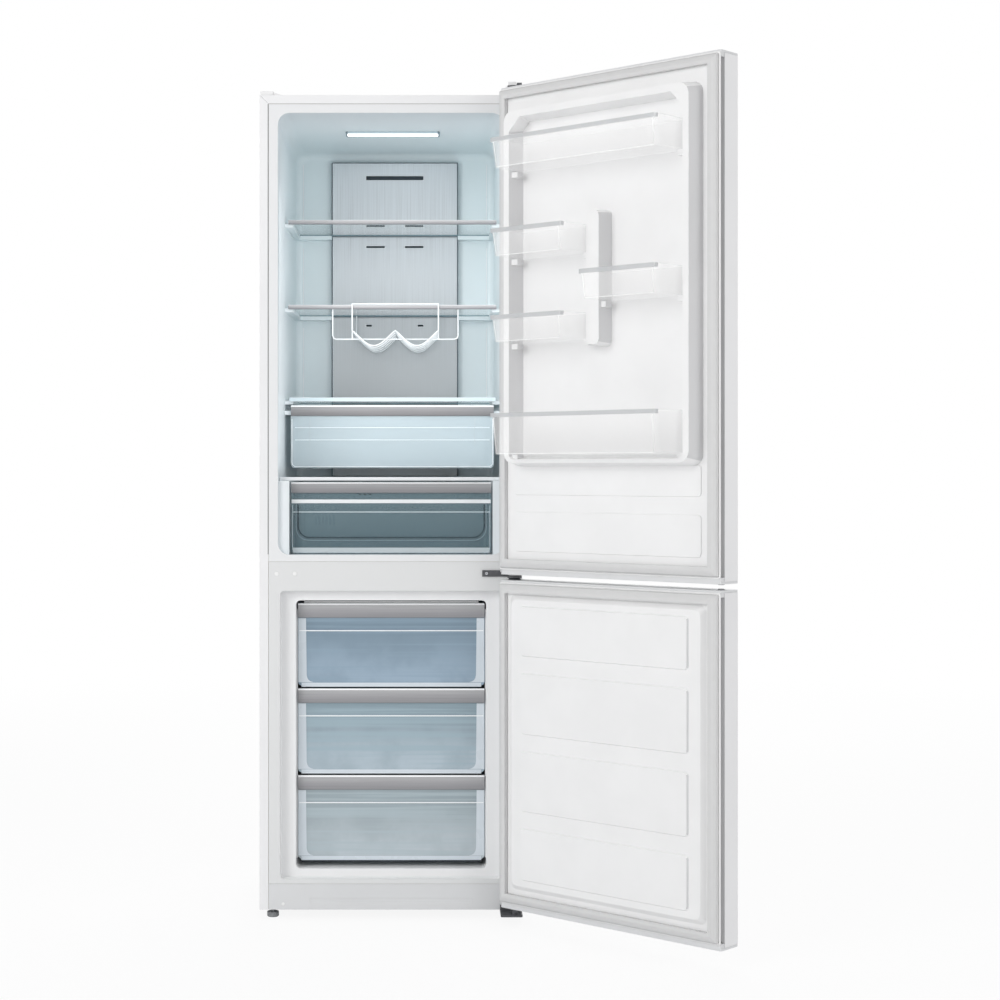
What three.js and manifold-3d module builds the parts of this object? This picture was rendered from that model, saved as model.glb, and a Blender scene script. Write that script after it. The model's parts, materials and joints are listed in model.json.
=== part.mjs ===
// Bottom freezer refrigerator, standing with both doors open.
// Millimetres, +Z up. X runs across the front, Y runs from the front to the back.
// While it is built, X = 0 is the middle of the cabinet, Y = 0 its front face and Z = 0 the floor.
import * as THREE from 'three';
import { mergeVertices } from 'three/addons/utils/BufferGeometryUtils.js';
import Module from 'manifold-3d';

const wasm = await Module();
wasm.setup();

// ---------------------------------------------------------------- driving dimensions

// Clearances
const SEAT_GAP = 0.3; // between two pieces that rest on or line each other
const SLIDE_GAP = 2; // beside a piece that slides or lifts
const PIN_GAP = 0.4; // round a pin or an axle

// Cabinet
const CABINET_WIDTH = 595;
const CABINET_DEPTH = 557;
const CABINET_HALF = CABINET_WIDTH / 2;
const CABINET_BOTTOM = 22;
const SHEET = 1; // painted steel sheet
const FLANGE = 20; // steel folded in round the front edge
const LINER_WALL = 2.5;
const LINER_SET_BACK = 0.5; // of the plastic frame behind the steel edge
const BASE_PANEL_TOP = 80;
const BASE_GROOVE_HALF = 184.5;
const BASE_GROOVE_Z = 37;
const BASE_GROOVE_HEIGHT = 11;
const BASE_GROOVE_DEPTH = 1;
const BACK_PANEL_SETBACK = 0.5;
const MOUTH_REACH = 3; // how far a compartment's cutting shape runs out past the front

// Machine compartment behind the lowest drawer
const MACHINE_TOP = 228;
const MACHINE_DEPTH = 241; // from the back of the cabinet
const MACHINE_FRONT = CABINET_DEPTH - MACHINE_DEPTH;

// Freezer compartment and its three drawers, each height from the floor up
const FRAME_SILL = 11; // of plastic under the outer step
const FREEZER_FRAME_BOTTOM = BASE_PANEL_TOP + FRAME_SILL;
const FLOOR_STEP = 19;
const FREEZER_FLOOR = FREEZER_FRAME_BOTTOM + FLOOR_STEP;
const DRAWER_HEIGHTS = { lower: 192, middle: 192.5, upper: 189 };
const DRAWER_SPACING = 6.25;
const DRAWER_FLOOR_ROOM = 17; // under the lower drawer
const FREEZER_HEADROOM = 8;
const FREEZER_FRAME_RISE = 23; // of the outer step over the freezer's ceiling
const FREEZER_FRAME_RECESS = 26;
const FREEZER_FRAME_MARGIN = 46.5; // beside the outer step
const FREEZER_STEP_IN = 34; // from the outer step to the inner wall
const FREEZER_BACK_WALL = 87;
const FREEZER_CORNER = 10;
const STEP_WALL = 46; // between the freezer and the front of the machine compartment
const STEP_ROOF = 47; // between the machine compartment and the freezer's step over it
const LOWER_DRAWER_BOTTOM = FREEZER_FLOOR + DRAWER_FLOOR_ROOM;
const LOWER_DRAWER_TOP = LOWER_DRAWER_BOTTOM + DRAWER_HEIGHTS.lower;
const MIDDLE_DRAWER_BOTTOM = LOWER_DRAWER_TOP + DRAWER_SPACING;
const MIDDLE_DRAWER_TOP = MIDDLE_DRAWER_BOTTOM + DRAWER_HEIGHTS.middle;
const UPPER_DRAWER_BOTTOM = MIDDLE_DRAWER_TOP + DRAWER_SPACING;
const UPPER_DRAWER_TOP = UPPER_DRAWER_BOTTOM + DRAWER_HEIGHTS.upper;
const FREEZER_CEILING = UPPER_DRAWER_TOP + FREEZER_HEADROOM;
const FREEZER_FRAME_TOP = FREEZER_CEILING + FREEZER_FRAME_RISE;
const FREEZER_FRAME_HALF = CABINET_HALF - FREEZER_FRAME_MARGIN;
const FREEZER_HALF = FREEZER_FRAME_HALF - FREEZER_STEP_IN;
const FREEZER_DEPTH = CABINET_DEPTH - FREEZER_BACK_WALL;
const FREEZER_STEP_TOP = MACHINE_TOP + STEP_ROOF; // the freezer is shallower below this
const FREEZER_STEP_DEPTH = MACHINE_FRONT - STEP_WALL;

// Fridge compartment, from the seam of the two plastic frames up
const SEAM_RISE = 66.7;
const FRAME_SEAM = FREEZER_FRAME_TOP + SEAM_RISE;
const FRIDGE_SILL = 15.3;
const FRIDGE_FLOOR = FRAME_SEAM + FRIDGE_SILL;
const BAY_HEIGHT = 167.7; // of the narrower bay that holds the lower crisper
const BAY_SHOULDER = 24.5; // how much narrower it is on each side
const BAY_SET_BACK = 10;
const UPPER_CRISPER_RISE = 29.3; // of its underside over the bay
const UPPER_CRISPER_HEIGHT = 147;
const CRISPER_COVER_RISE = 9; // of the cover's trim over the crisper
const LOWER_SHELF_ROOM = 217; // from the crisper cover to the lower shelf
const UPPER_SHELF_ROOM = 199; // between the shelves
const TOP_ROOM = 233; // over the upper shelf
const ROOF = 40; // from the fridge's ceiling to the top of the cabinet
const FRIDGE_SIDE_WALL = 41.5;
const FRIDGE_BACK_WALL = 127;
const BAY_TOP = FRIDGE_FLOOR + BAY_HEIGHT;
const UPPER_CRISPER_BOTTOM = BAY_TOP + UPPER_CRISPER_RISE;
const UPPER_CRISPER_TOP = UPPER_CRISPER_BOTTOM + UPPER_CRISPER_HEIGHT;
const CRISPER_COVER_Z = UPPER_CRISPER_TOP + CRISPER_COVER_RISE; // underside of each trim
const LOWER_SHELF_Z = CRISPER_COVER_Z + LOWER_SHELF_ROOM;
const UPPER_SHELF_Z = LOWER_SHELF_Z + UPPER_SHELF_ROOM;
const FRIDGE_CEILING = UPPER_SHELF_Z + TOP_ROOM;
const CABINET_TOP = FRIDGE_CEILING + ROOF;
const FRIDGE_HALF = CABINET_HALF - FRIDGE_SIDE_WALL;
const FRIDGE_DEPTH = CABINET_DEPTH - FRIDGE_BACK_WALL;
const FRIDGE_CORNER = 26;
const WALL_DRAFT = 10; // each side wall leans in by this much at the back
const CEILING_DROP = 24;
const BACK_ROUND = 18;
const BAY_HALF = FRIDGE_HALF - BAY_SHOULDER;
const BACK_WALL_X = FRIDGE_HALF - WALL_DRAFT;
const GRILLE_SLOTS = 6; // air return in the back wall of the bay
const GRILLE_INSET = 31.5; // from the bay's left wall
const GRILLE_PITCH = 9;
const GRILLE_SLOT = 5.4;
const GRILLE_DEPTH = 1.2;
const GRILLE_RISE = 57; // over the fridge's floor
const GRILLE_HEIGHT = 20;

// Air duct covers and lamp
const DUCT_HALF = 154;
const DUCT_RISE = 10.3; // over the top of the bay
const DUCT_BOTTOM = BAY_TOP + DUCT_RISE;
const DUCT_HEADROOM = 49;
const DUCT_TOP = FRIDGE_CEILING - DUCT_HEADROOM;
const DUCT_THICKNESS = 16;
const DUCT_SLOT_DEPTH = 10;
const DUCT_SLOT = 5; // height of each slot
const DUCT_BAR_HALF = 71;
const DUCT_BAR_DROP = 41; // each drop is from the top of the duct
const DUCT_SLOT_IN = 25;
const DUCT_SLOT_DROPS = [157.5, 209.5];
const DUCT_SMALL_SLOT = 14;
const DUCT_SMALL_DROP = 404.5;
const LAMP_LENGTH = 222;
const LAMP_WIDTH = 46;
const LAMP_THICKNESS = 4;
const LAMP_FRONT = 180;
const LAMP_CORNER = 6;
const COIL_SPACE = 72; // behind the freezer's duct cover
const FREEZER_DUCT_FRONT = FREEZER_DEPTH - COIL_SPACE;
const FREEZER_DUCT_THICKNESS = 5;
const FREEZER_VENT_DROP = 60;
const FREEZER_VENTS = [20, 110]; // near end of each pair of vents, from the middle
const FAN_DROP = 69;
const FAN_Z = FREEZER_CEILING - FAN_DROP;
const FAN_RADIUS = 48;
const FAN_HUB = 15;
const FAN_BLADES = 5;
const FAN_THICKNESS = 14;
const FAN_BLADE_PITCH = 0.5; // radians
const FAN_BLADE_WIDTH = 24;
const FAN_BLADE_SHEET = 2;
const MOTOR_LENGTH = 18;
const COIL_SIDE_ROOM = 27;
const COIL_HALF = FREEZER_HALF - COIL_SIDE_ROOM;
const COIL_RISE = 25;
const COIL_BOTTOM = FREEZER_STEP_TOP + COIL_RISE;
const COIL_HEIGHT = 285;
const COIL_TOP = COIL_BOTTOM + COIL_HEIGHT;
const COIL_DEPTH = 52;
const COIL_FINS = 14;
const COIL_FIN = 2;
const COIL_PLATE = 12;

// Shelves
const SHELF_SIDE_ROOM = 4;
const SHELF_HALF = BACK_WALL_X - SHELF_SIDE_ROOM;
const SHELF_FRONT = 150;
const SHELF_BACK_ROOM = 20;
const SHELF_BACK = FRIDGE_DEPTH - SHELF_BACK_ROOM;
const GLASS = 4;
const GLASS_RISE = 3; // of the glass above the underside of its trim
const TRIM_HEIGHT = 9.6;
const TRIM_LIP = 3;
const TRIM_DEPTH = 11;
const BAY_COVER_FRONT = 28;
const BAY_TRIM_HEIGHT = 8;
const BAY_TRIM_HALF = FRIDGE_HALF - SLIDE_GAP;
const BAY_GLASS = 6;
const LEDGE_REACH = 9;
const LEDGE_HEIGHT = 9;

// Wine rack, hung from the lower shelf
const RACK_CENTRE = 7;
const RACK_HALF = 101;
const RACK_FRAME_HALF = 147;
const RACK_WIRE = 1.7; // radius
const RACK_WIRE_COUNT = 5;
const RACK_DROP = 51; // of the wires' crests below the shelf
const RACK_PEAK_Z = LOWER_SHELF_Z - RACK_DROP;
const RACK_CRADLE_DEPTH = 35;
const RACK_BACK_ROOM = 14;
const RACK_BACK = SHELF_BACK - RACK_BACK_ROOM;
const RACK_STEPS = 16;
const RACK_RAIL_DROP = 19.6; // of the rail between the legs of the outer frame, below the crests
const RACK_RAIL_Z = RACK_PEAK_Z - RACK_RAIL_DROP;
const RACK_SAG_POWER = 1.2; // rounds the bottom of each cradle
const WIRE_SIDES = 5;

// Crispers
const CRISPER_WALL = 2.5;
const UPPER_CRISPER_SIDE_ROOM = 8;
const UPPER_CRISPER_HALF = BACK_WALL_X - UPPER_CRISPER_SIDE_ROOM;
const LOWER_CRISPER_SIDE_ROOM = 2.5;
const LOWER_CRISPER_HALF = BAY_HALF - LOWER_CRISPER_SIDE_ROOM;
const LOWER_CRISPER_HEADROOM = 3;
const LOWER_CRISPER_TOP = BAY_TOP - LOWER_CRISPER_HEADROOM;
const LOWER_CRISPER_FRONT = 36;
const CRISPER_BACK_ROOM = 28;
const CRISPER_BACK = FRIDGE_DEPTH - CRISPER_BACK_ROOM;
const CRISPER_BAND_HEIGHT = 25;
const CRISPER_RIM = 7;
const CRISPER_RIM_DROP = 10;
const LOWER_CRISPER_RIM = 3;

// Freezer drawers
const DRAWER_SIDE_ROOM = 3;
const DRAWER_HALF = FREEZER_HALF - DRAWER_SIDE_ROOM;
const DRAWER_FRONT = 50;
const DRAWER_WALL = 2.5;
const DRAWER_BAND_HEIGHT = 33;
const DRAWER_RIM = 6;
const DRAWER_RIM_DROP = 12;
const DRAWER_TAPER = 5;
const DRAWER_CORNER = 10;
const RIM_SHEET = 2.5;
const BAND_LIP = 3.5;
const BAND_INSET = 0.5;
const BAND_THICKNESS = 3.5;
const DRAWER_BACK_ROOM = 13;
const STEP_ROOM = 15; // behind the shallow drawer
const DEEP_DRAWER_BACK = FREEZER_DUCT_FRONT - DRAWER_BACK_ROOM;
const SHALLOW_DRAWER_BACK = FREEZER_STEP_DEPTH - STEP_ROOM;
const FREEZER_DRAWERS = [
  {
    name: 'upper_freezer_drawer',
    bottom: UPPER_DRAWER_BOTTOM, top: UPPER_DRAWER_TOP, back: DEEP_DRAWER_BACK,
  },
  {
    name: 'middle_freezer_drawer',
    bottom: MIDDLE_DRAWER_BOTTOM, top: MIDDLE_DRAWER_TOP, back: DEEP_DRAWER_BACK,
  },
  {
    name: 'lower_freezer_drawer',
    bottom: LOWER_DRAWER_BOTTOM, top: LOWER_DRAWER_TOP, back: SHALLOW_DRAWER_BACK,
  },
];

// Doors
const DOOR_GAP = 12; // between the cabinet front and the inside of a closed door
const DOOR_THICKNESS = 66;
const DOOR_OPEN_ANGLE = 137.1;
const PIVOT_INSET = 18.85; // of the hinge axis from the side of the door
const PIVOT_DEPTH = 30; // of the hinge axis behind the inside of the door
const LOWER_DOOR_RISE = 17;
const LOWER_DOOR_BOTTOM = CABINET_BOTTOM + LOWER_DOOR_RISE;
const LOWER_DOOR_SEAM_GAP = 38.7; // from the lower door up to the frames' seam
const LOWER_DOOR_TOP = FRAME_SEAM - LOWER_DOOR_SEAM_GAP;
const DOOR_SPACING = 12.6; // between the two doors
const UPPER_DOOR_BOTTOM = LOWER_DOOR_TOP + DOOR_SPACING;
const DOOR_OVER_TOP = 5;
const UPPER_DOOR_TOP = CABINET_TOP + DOOR_OVER_TOP;
const CAP_SHOW = 5; // how much of an end cap shows past the steel
const CAP_PLUG = 9;
const DOOR_CORNER = 5;
const DOOR_LINER = 2.5;
const DOOR_SHEET_INSET = 0.5; // of the liner and gasket from the steel side of a door
const CAP_INSET = 0.5;
const GRIP_DEPTH = 11; // of the finger groove in the free edge
const GRIP_WIDTH = 13;
const LINER_INSET_TOP = 4;
const LINER_INSET_BOTTOM = 11.5;
const GASKET_WIDTH = 20;
const GASKET_INSET = 4;
const GASKET_SHOULDER = 5.4; // thickness up to which the gasket is square
const GASKET_LEAN = 11.5; // the lip leans in by this much, clear of the cabinet as the door turns

// Raised rim on the upper door's liner, which carries the bins
const RIM_OUTER_INSET = 42;
const RIM_WALL = 29;
const RIM_HEIGHT = 42;
const RIM_DROP = 58;
const RIM_TOP = UPPER_DOOR_TOP - RIM_DROP;
const RIM_DRAFT = 7;
const RIM_CORNER = 24;
const RIM_ROOM_CORNER = 12;
const RIM_CHAMFER = 36;
const COLUMN_HALF = 17;
const COLUMN_DRAFT = 3;
const COLUMN_CORNER = 12;
const PANEL_RAISE = 3;
const PANEL_DRAFT = 1;
const PANEL_CORNER = 8;
const PANEL_MARGIN = 45.5;
const PANEL_HALF = CABINET_HALF - PANEL_MARGIN;
const PANEL_RISE = 53;
const UPPER_DOOR_PANEL_LOW = UPPER_DOOR_BOTTOM + PANEL_RISE;
const PANEL_HEIGHT = 88;
const UPPER_DOOR_PANEL_MID = UPPER_DOOR_PANEL_LOW + PANEL_HEIGHT;
const PANEL_SPACING = 36.8;
const UPPER_DOOR_PANEL_STEP = UPPER_DOOR_PANEL_MID + PANEL_SPACING;
const UPPER_PANEL_HEIGHT = 63.6;
const RIM_BOTTOM = UPPER_DOOR_PANEL_STEP + UPPER_PANEL_HEIGHT;
const RIM_FOOT = 22;
const RIM_ROOM_BOTTOM = RIM_BOTTOM + RIM_FOOT;
const COLUMN_RISE = 255;
const COLUMN_BOTTOM = RIM_BOTTOM + COLUMN_RISE;
const COLUMN_HEIGHT = 291;
const COLUMN_TOP = COLUMN_BOTTOM + COLUMN_HEIGHT;

// Raised field and pads on the lower door's liner
const LOWER_PANEL_MARGIN = 33.5;
const LOWER_PANEL_HALF = CABINET_HALF - LOWER_PANEL_MARGIN;
const LOWER_PANEL_RISE = 48;
const LOWER_PANEL_BOTTOM = LOWER_DOOR_BOTTOM + LOWER_PANEL_RISE;
const LOWER_PANEL_DROP = 31;
const LOWER_PANEL_TOP = LOWER_DOOR_TOP - LOWER_PANEL_DROP;
const LOWER_PANEL_RAISE = 10;
const LOWER_PANEL_CORNER = 14;
const LOWER_PAD_MARGIN = 38;
const LOWER_PAD_HALF = LOWER_PANEL_HALF - LOWER_PAD_MARGIN;
const LOWER_PAD_SPACING = 37;
const LOWER_PAD_RAISE = 15;
const LOWER_PAD_DRAFT = 2;
const LOWER_PAD_HEIGHTS = [115, 133.5, 135, 111]; // from the bottom up
const LOWER_PADS_RISE = 25;
const LOWER_PADS_START = LOWER_PANEL_BOTTOM + LOWER_PADS_RISE;

// Door bins
const BIN_END_ROOM = 3.5; // between a bin and the rim that carries it
const BIN_LENGTH = CABINET_WIDTH - 2 * (RIM_OUTER_INSET + RIM_WALL + BIN_END_ROOM);
const BIN_REACH = 118; // of the front from the inside of the door
const BIN_BACK = 7;
const BIN_WALL = 2.2;
const BIN_SLANT = 9;
const BIN_TAPER = 3;
const BIN_RIM_HEIGHT = 9;
const BIN_CORNER = 10;
const BIN_RIM_SHEET = 1.5;
const BIN_RIM_RETURN = 12;
const BIN_RIM_INSET = 1;
const PEG_NEAR = 14;
const PEG_FAR = 34;
const PEG_HEIGHT = 12;
const PEG_REACH = 8;
const TOP_BIN_DROP = 141; // of its floor below the top of the rim
const TOP_BIN_HEIGHT = 64;
const UPPER_HINGE_BIN_RISE = 201; // each of these three over the foot of the column
const UPPER_HINGE_BIN_HEIGHT = 59;
const FREE_BIN_RISE = 94;
const FREE_BIN_HEIGHT = 61;
const LOWER_HINGE_BIN_RISE = 15;
const LOWER_HINGE_BIN_HEIGHT = 57;
const BOTTOM_BIN_RISE = 26; // over the foot of the rim
const BOTTOM_BIN_HEIGHT = 89;
const BINS = [
  { name: 'door_bin_top', bottom: RIM_TOP - TOP_BIN_DROP, height: TOP_BIN_HEIGHT, span: 'full' },
  {
    name: 'door_bin_upper_hinge_side', bottom: COLUMN_BOTTOM + UPPER_HINGE_BIN_RISE,
    height: UPPER_HINGE_BIN_HEIGHT, span: 'hinge',
  },
  {
    name: 'door_bin_free_side', bottom: COLUMN_BOTTOM + FREE_BIN_RISE, height: FREE_BIN_HEIGHT,
    span: 'free',
  },
  {
    name: 'door_bin_lower_hinge_side', bottom: COLUMN_BOTTOM + LOWER_HINGE_BIN_RISE,
    height: LOWER_HINGE_BIN_HEIGHT, span: 'hinge',
  },
  { name: 'door_bin_bottom', bottom: RIM_BOTTOM + BOTTOM_BIN_RISE, height: BOTTOM_BIN_HEIGHT, span: 'full' },
];

// Hinges
const HINGE_PLATE = 4;
const HINGE_ARM_HALF = 16;
const HINGE_PIN = 4; // radius
const MIDDLE_PLATE_WIDTH = 90.5; // from its left end to the cabinet's side
const MIDDLE_PLATE_LEFT = CABINET_HALF - MIDDLE_PLATE_WIDTH;
const MIDDLE_PLATE_HEIGHT = 14.5;
const MIDDLE_PLATE_RISE = 4.7; // over the lower door
const MIDDLE_PLATE_BOTTOM = LOWER_DOOR_TOP + MIDDLE_PLATE_RISE;
const MIDDLE_SCREW_INSET = 10;
const COVER_HEIGHT = 19;
const COVER_WALL = 2;
const HINGE_TIP_INSET = 4; // of the cover's tongue from the end of the hinge's arm
const HINGE_STOP_BELOW = 2; // of the stop beside the tongue, below the top of the cover
const PIN_LENGTH = 13.5; // inside an end cap
const HINGE_RISER = 8;
const HINGE_TAIL = 80;
const FLANGE_CLEAR = 0.5;
const BOTTOM_UPSTAND = 14;
const BOTTOM_PLATE_MARGIN = 6;
const SPARE_CAP_HEIGHT = 9;
const SPARE_CAP_WIDTH = 29.5;
const SPARE_CAP_LENGTH = 60;
const SPARE_WEDGE = 20;
const SPARE_CAP_INSET = 1.5;
const SPARE_CAP_FRONT = 3;

// What the machine compartment holds, feet and rollers
const FOOT_RADIUS = 13.5;
const FOOT_HEIGHT = 12;
const FOOT_CHAMFER = 2;
const FOOT_INSET = 28;
const FOOT_BACK = 32;
const STUD_RADIUS = 5;
const STUD_TOP = 42;
const ROLLER_RADIUS = 15;
const ROLLER_WIDTH = 16;
const ROLLER_INSET = 36;
const ROLLER_BACK = 38;
const AXLE_RADIUS = 3;
const TAB_SHEET = 2;
const TAB_HALF = 8;
const BASE_SHEET = 1.5;
const COMPRESSOR_RADIUS = 70;
const COMPRESSOR_HEIGHT = 150;
const COMPRESSOR_X = -60;
const COMPRESSOR_BACK = 117; // from its middle to the back of the cabinet
const COMPRESSOR_Y = CABINET_DEPTH - COMPRESSOR_BACK;
const GROMMET_HEIGHT = 10;
const GROMMET_RADIUS = 9;
const CARRIER_REACH = 12; // of the compressor's feet past its can
const CARRIER_DEPTH = 105;
const CARRIER_SHEET = 6;
const PAN_HEIGHT = 32;
const PAN_HALF = 70;
const PAN_LONG_HALF = 91;
const PAN_TAPER = 6;
const PAN_WALL = 2;
const PAN_CORNER = 12;
const VENT_ROWS = 6;
const VENT_MARGIN = 40;
const VENT_PITCH = 22;
const VENT_LENGTH = 60;
const VENT_HEIGHT = 6;

// Lengths worked out from those above
const FRAME_HALF = CABINET_HALF - FLANGE - SEAT_GAP;
const FRAME_TOP = CABINET_TOP - FLANGE - SEAT_GAP;
const INNER_PLANE = -DOOR_GAP;
const OUTER_PLANE = -DOOR_GAP - DOOR_THICKNESS;
const PIVOT_X = CABINET_HALF - PIVOT_INSET;
const PIVOT_Y = INNER_PLANE - PIVOT_DEPTH;
const BACK_PANEL_Y = CABINET_DEPTH - SHEET - BACK_PANEL_SETBACK;
const FOOT_X = CABINET_HALF - FOOT_INSET;
const ROLLER_X = CABINET_HALF - ROLLER_INSET;
const ROLLER_Y = CABINET_DEPTH - ROLLER_BACK;

// ---------------------------------------------------------------- materials

function paint(color, roughness, metalness = 0, opacity = 1) {
  return new THREE.MeshStandardMaterial({
    color, roughness, metalness, opacity, transparent: opacity < 1,
  });
}

const whiteSteel = paint(0xf2f2f2, 0.35);
const galvanised = paint(0xb4b8ba, 0.45, 0.8);
const whitePlastic = paint(0xf0f0ef, 0.4);
const greyPlastic = paint(0xc4c6c8, 0.5);
const darkPlastic = paint(0x3c4044, 0.6);
const rubber = paint(0xe6e6e4, 0.75);
const foam = paint(0xe8d9a8, 0.95);
const satinMetal = paint(0xb9c0c4, 0.3, 0.9);
const trimMetal = paint(0xa6a9ab, 0.35, 0.7);
const darkSteel = paint(0x3a3c3f, 0.45, 0.6);
const glass = paint(0xcfe2e6, 0.05, 0, 0.35);
const clearPlastic = paint(0xdcebf0, 0.1, 0, 0.4);
const smokedPlastic = paint(0xa6bcc6, 0.15, 0, 0.55);
const frostedPlastic = paint(0xf2f5f6, 0.2, 0, 0.6);
const lampPlastic = paint(0xffffff, 0.3);
const blackSteel = paint(0x222325, 0.5, 0.3);

// ---------------------------------------------------------------- shape helpers

const ROUND_SIDES = 16;

// Steps in a quarter turn: wide corners are drawn finer than small ones.
function arcSteps(radius) {
  if (radius > 15) return 5;
  return radius > 6 ? 3 : 2;
}

function box(x0, x1, y0, y1, z0, z1) {
  const geometry = new THREE.BoxGeometry(x1 - x0, y1 - y0, z1 - z0);
  return geometry.translate((x0 + x1) / 2, (y0 + y1) / 2, (z0 + z1) / 2);
}

// A round bar from `start` along one axis, given as 'x', 'y' or 'z'.
function bar(radius, axis, start, length) {
  const geometry = new THREE.CylinderGeometry(radius, radius, length, ROUND_SIDES);
  geometry.translate(0, length / 2, 0);
  if (axis === 'x') geometry.rotateZ(-Math.PI / 2);
  if (axis === 'z') geometry.rotateX(Math.PI / 2);
  return geometry.translate(start[0], start[1], start[2]);
}

function polygon(points) {
  return new THREE.Shape(points.map(([u, v]) => new THREE.Vector2(u, v)));
}

// A rectangle with round corners, as a shape in its own plane.
function roundedShape(u0, u1, v0, v1, radius) {
  return polygon(ringPoints({ u0, u1, v0, v1 }, radius));
}

function extrude(shape, length) {
  return new THREE.ExtrudeGeometry(shape, { depth: length, bevelEnabled: false });
}

// A plan shape (x, y) raised from z0 to z1.
function raised(shape, z0, z1) {
  return extrude(shape, z1 - z0).translate(0, 0, z0);
}

// A front view shape (x, z) run from y0 back to y1.
function runBack(shape, y0, y1) {
  return extrude(shape, y1 - y0).rotateX(Math.PI / 2).translate(0, y1, 0);
}

// A side view shape (y, z) run from x0 across to x1.
function runAcross(shape, x0, x1) {
  const turn = new THREE.Matrix4().makeBasis(
    new THREE.Vector3(0, 1, 0), new THREE.Vector3(0, 0, 1), new THREE.Vector3(1, 0, 0),
  );
  return extrude(shape, x1 - x0).applyMatrix4(turn).translate(x0, 0, 0);
}

// The corner points of a round-cornered rectangle, anticlockwise, always the same number.
function ringPoints({ u0, u1, v0, v1 }, radius) {
  const corners = [
    [u1 - radius, v0 + radius, -0.5], [u1 - radius, v1 - radius, 0],
    [u0 + radius, v1 - radius, 0.5], [u0 + radius, v0 + radius, 1],
  ];
  const points = [];
  const steps = arcSteps(radius);
  for (const [u, v, start] of corners) {
    for (let step = 0; step <= steps; step += 1) {
      const angle = Math.PI * (start + (0.5 * step) / steps);
      points.push([u + radius * Math.cos(angle), v + radius * Math.sin(angle)]);
    }
  }
  return points;
}

// A closed solid through rings that have the same number of points.
function loft(rings) {
  const count = rings[0].length;
  const positions = rings.flat(2);
  const faces = [];
  for (let level = 0; level < rings.length - 1; level += 1) {
    for (let i = 0; i < count; i += 1) {
      const a = level * count + i;
      const b = level * count + ((i + 1) % count);
      faces.push(a, b, b + count, a, b + count, a + count);
    }
  }
  const last = (rings.length - 1) * count;
  for (let i = 1; i < count - 1; i += 1) {
    faces.push(0, i + 1, i, last, last + i, last + i + 1);
  }
  const geometry = new THREE.BufferGeometry();
  geometry.setAttribute('position', new THREE.Float32BufferAttribute(positions, 3));
  geometry.setIndex(faces);
  return facingOut(geometry);
}

function signedVolume(geometry) {
  const position = geometry.getAttribute('position');
  const index = geometry.getIndex();
  const [a, b, c] = [new THREE.Vector3(), new THREE.Vector3(), new THREE.Vector3()];
  let sum = 0;
  for (let i = 0; i < index.count; i += 3) {
    a.fromBufferAttribute(position, index.getX(i));
    b.fromBufferAttribute(position, index.getX(i + 1));
    c.fromBufferAttribute(position, index.getX(i + 2));
    sum += a.dot(b.cross(c));
  }
  return sum;
}

function facingOut(geometry) {
  if (signedVolume(geometry) < 0) geometry.setIndex(Array.from(geometry.getIndex().array).reverse());
  return geometry;
}

function solid(geometry) {
  const bare = new THREE.BufferGeometry();
  bare.setAttribute('position', geometry.getAttribute('position').clone());
  if (geometry.getIndex()) bare.setIndex(geometry.getIndex().clone());
  const merged = facingOut(mergeVertices(bare, 1e-4));
  return new wasm.Manifold(new wasm.Mesh({
    numProp: 3,
    vertProperties: new Float32Array(merged.getAttribute('position').array),
    triVerts: new Uint32Array(merged.getIndex().array),
  }));
}

function fromSolid(body) {
  const mesh = body.getMesh();
  const geometry = new THREE.BufferGeometry();
  geometry.setAttribute('position', new THREE.BufferAttribute(mesh.vertProperties, 3));
  geometry.setIndex(new THREE.BufferAttribute(mesh.triVerts, 1));
  geometry.computeVertexNormals();
  return geometry;
}

function join(...pieces) {
  return fromSolid(pieces.map(solid).reduce((whole, piece) => whole.add(piece)));
}

function clip(piece, limit) {
  return fromSolid(solid(piece).intersect(solid(limit)));
}

function cut(base, ...tools) {
  return fromSolid(tools.map(solid).reduce((whole, tool) => whole.subtract(tool), solid(base)));
}

// An open-topped tub between a bottom and a top rectangle, given in x and y.
function tub(bottom, top, z0, z1, wall, radius) {
  const toPoint = (z) => ([x, y]) => [x, y, z];
  const inset = (ring) => ({
    u0: ring.u0 + wall, u1: ring.u1 - wall, v0: ring.v0 + wall, v1: ring.v1 - wall,
  });
  const outside = loft([
    ringPoints(bottom, radius).map(toPoint(z0)),
    ringPoints(top, radius).map(toPoint(z1)),
  ]);
  const hollow = loft([
    ringPoints(inset(bottom), radius - wall / 2).map(toPoint(z0 + wall)),
    ringPoints(inset(top), radius - wall / 2).map(toPoint(z1 + wall)),
  ]);
  return cut(outside, hollow);
}

// ---------------------------------------------------------------- scene graph

const fridge = new THREE.Group();

function place(name, geometry, material, parent = fridge) {
  const mesh = new THREE.Mesh(geometry, material);
  mesh.name = name;
  parent.add(mesh);
  return mesh;
}

// ---------------------------------------------------------------- compartments

// The room inside a compartment, tapered to the back, with its rear edges rounded.
// With `grow` it is the outside of the wall round that room.
function compartment(front, back, depth, corner, grow) {
  const rings = [];
  const addRing = (y, inset, push) => {
    const share = Math.max(0, y / depth);
    const mix = (side) => front[side] + (back[side] - front[side]) * share;
    const edge = grow - inset;
    const ring = {
      u0: mix('x0') - edge, u1: mix('x1') + edge, v0: mix('z0') - edge, v1: mix('z1') + edge,
    };
    rings.push(ringPoints(ring, corner).map(([x, z]) => [x, y + push, z]));
  };
  addRing(-MOUTH_REACH, 0, 0);
  const steps = arcSteps(BACK_ROUND);
  for (let step = 0; step <= steps; step += 1) {
    const angle = (Math.PI / 2) * (step / steps);
    const [sine, cosine] = [Math.sin(angle), Math.cos(angle)];
    addRing(depth - BACK_ROUND * (1 - sine), BACK_ROUND * (1 - cosine), grow * sine);
  }
  return loft(rings);
}

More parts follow.
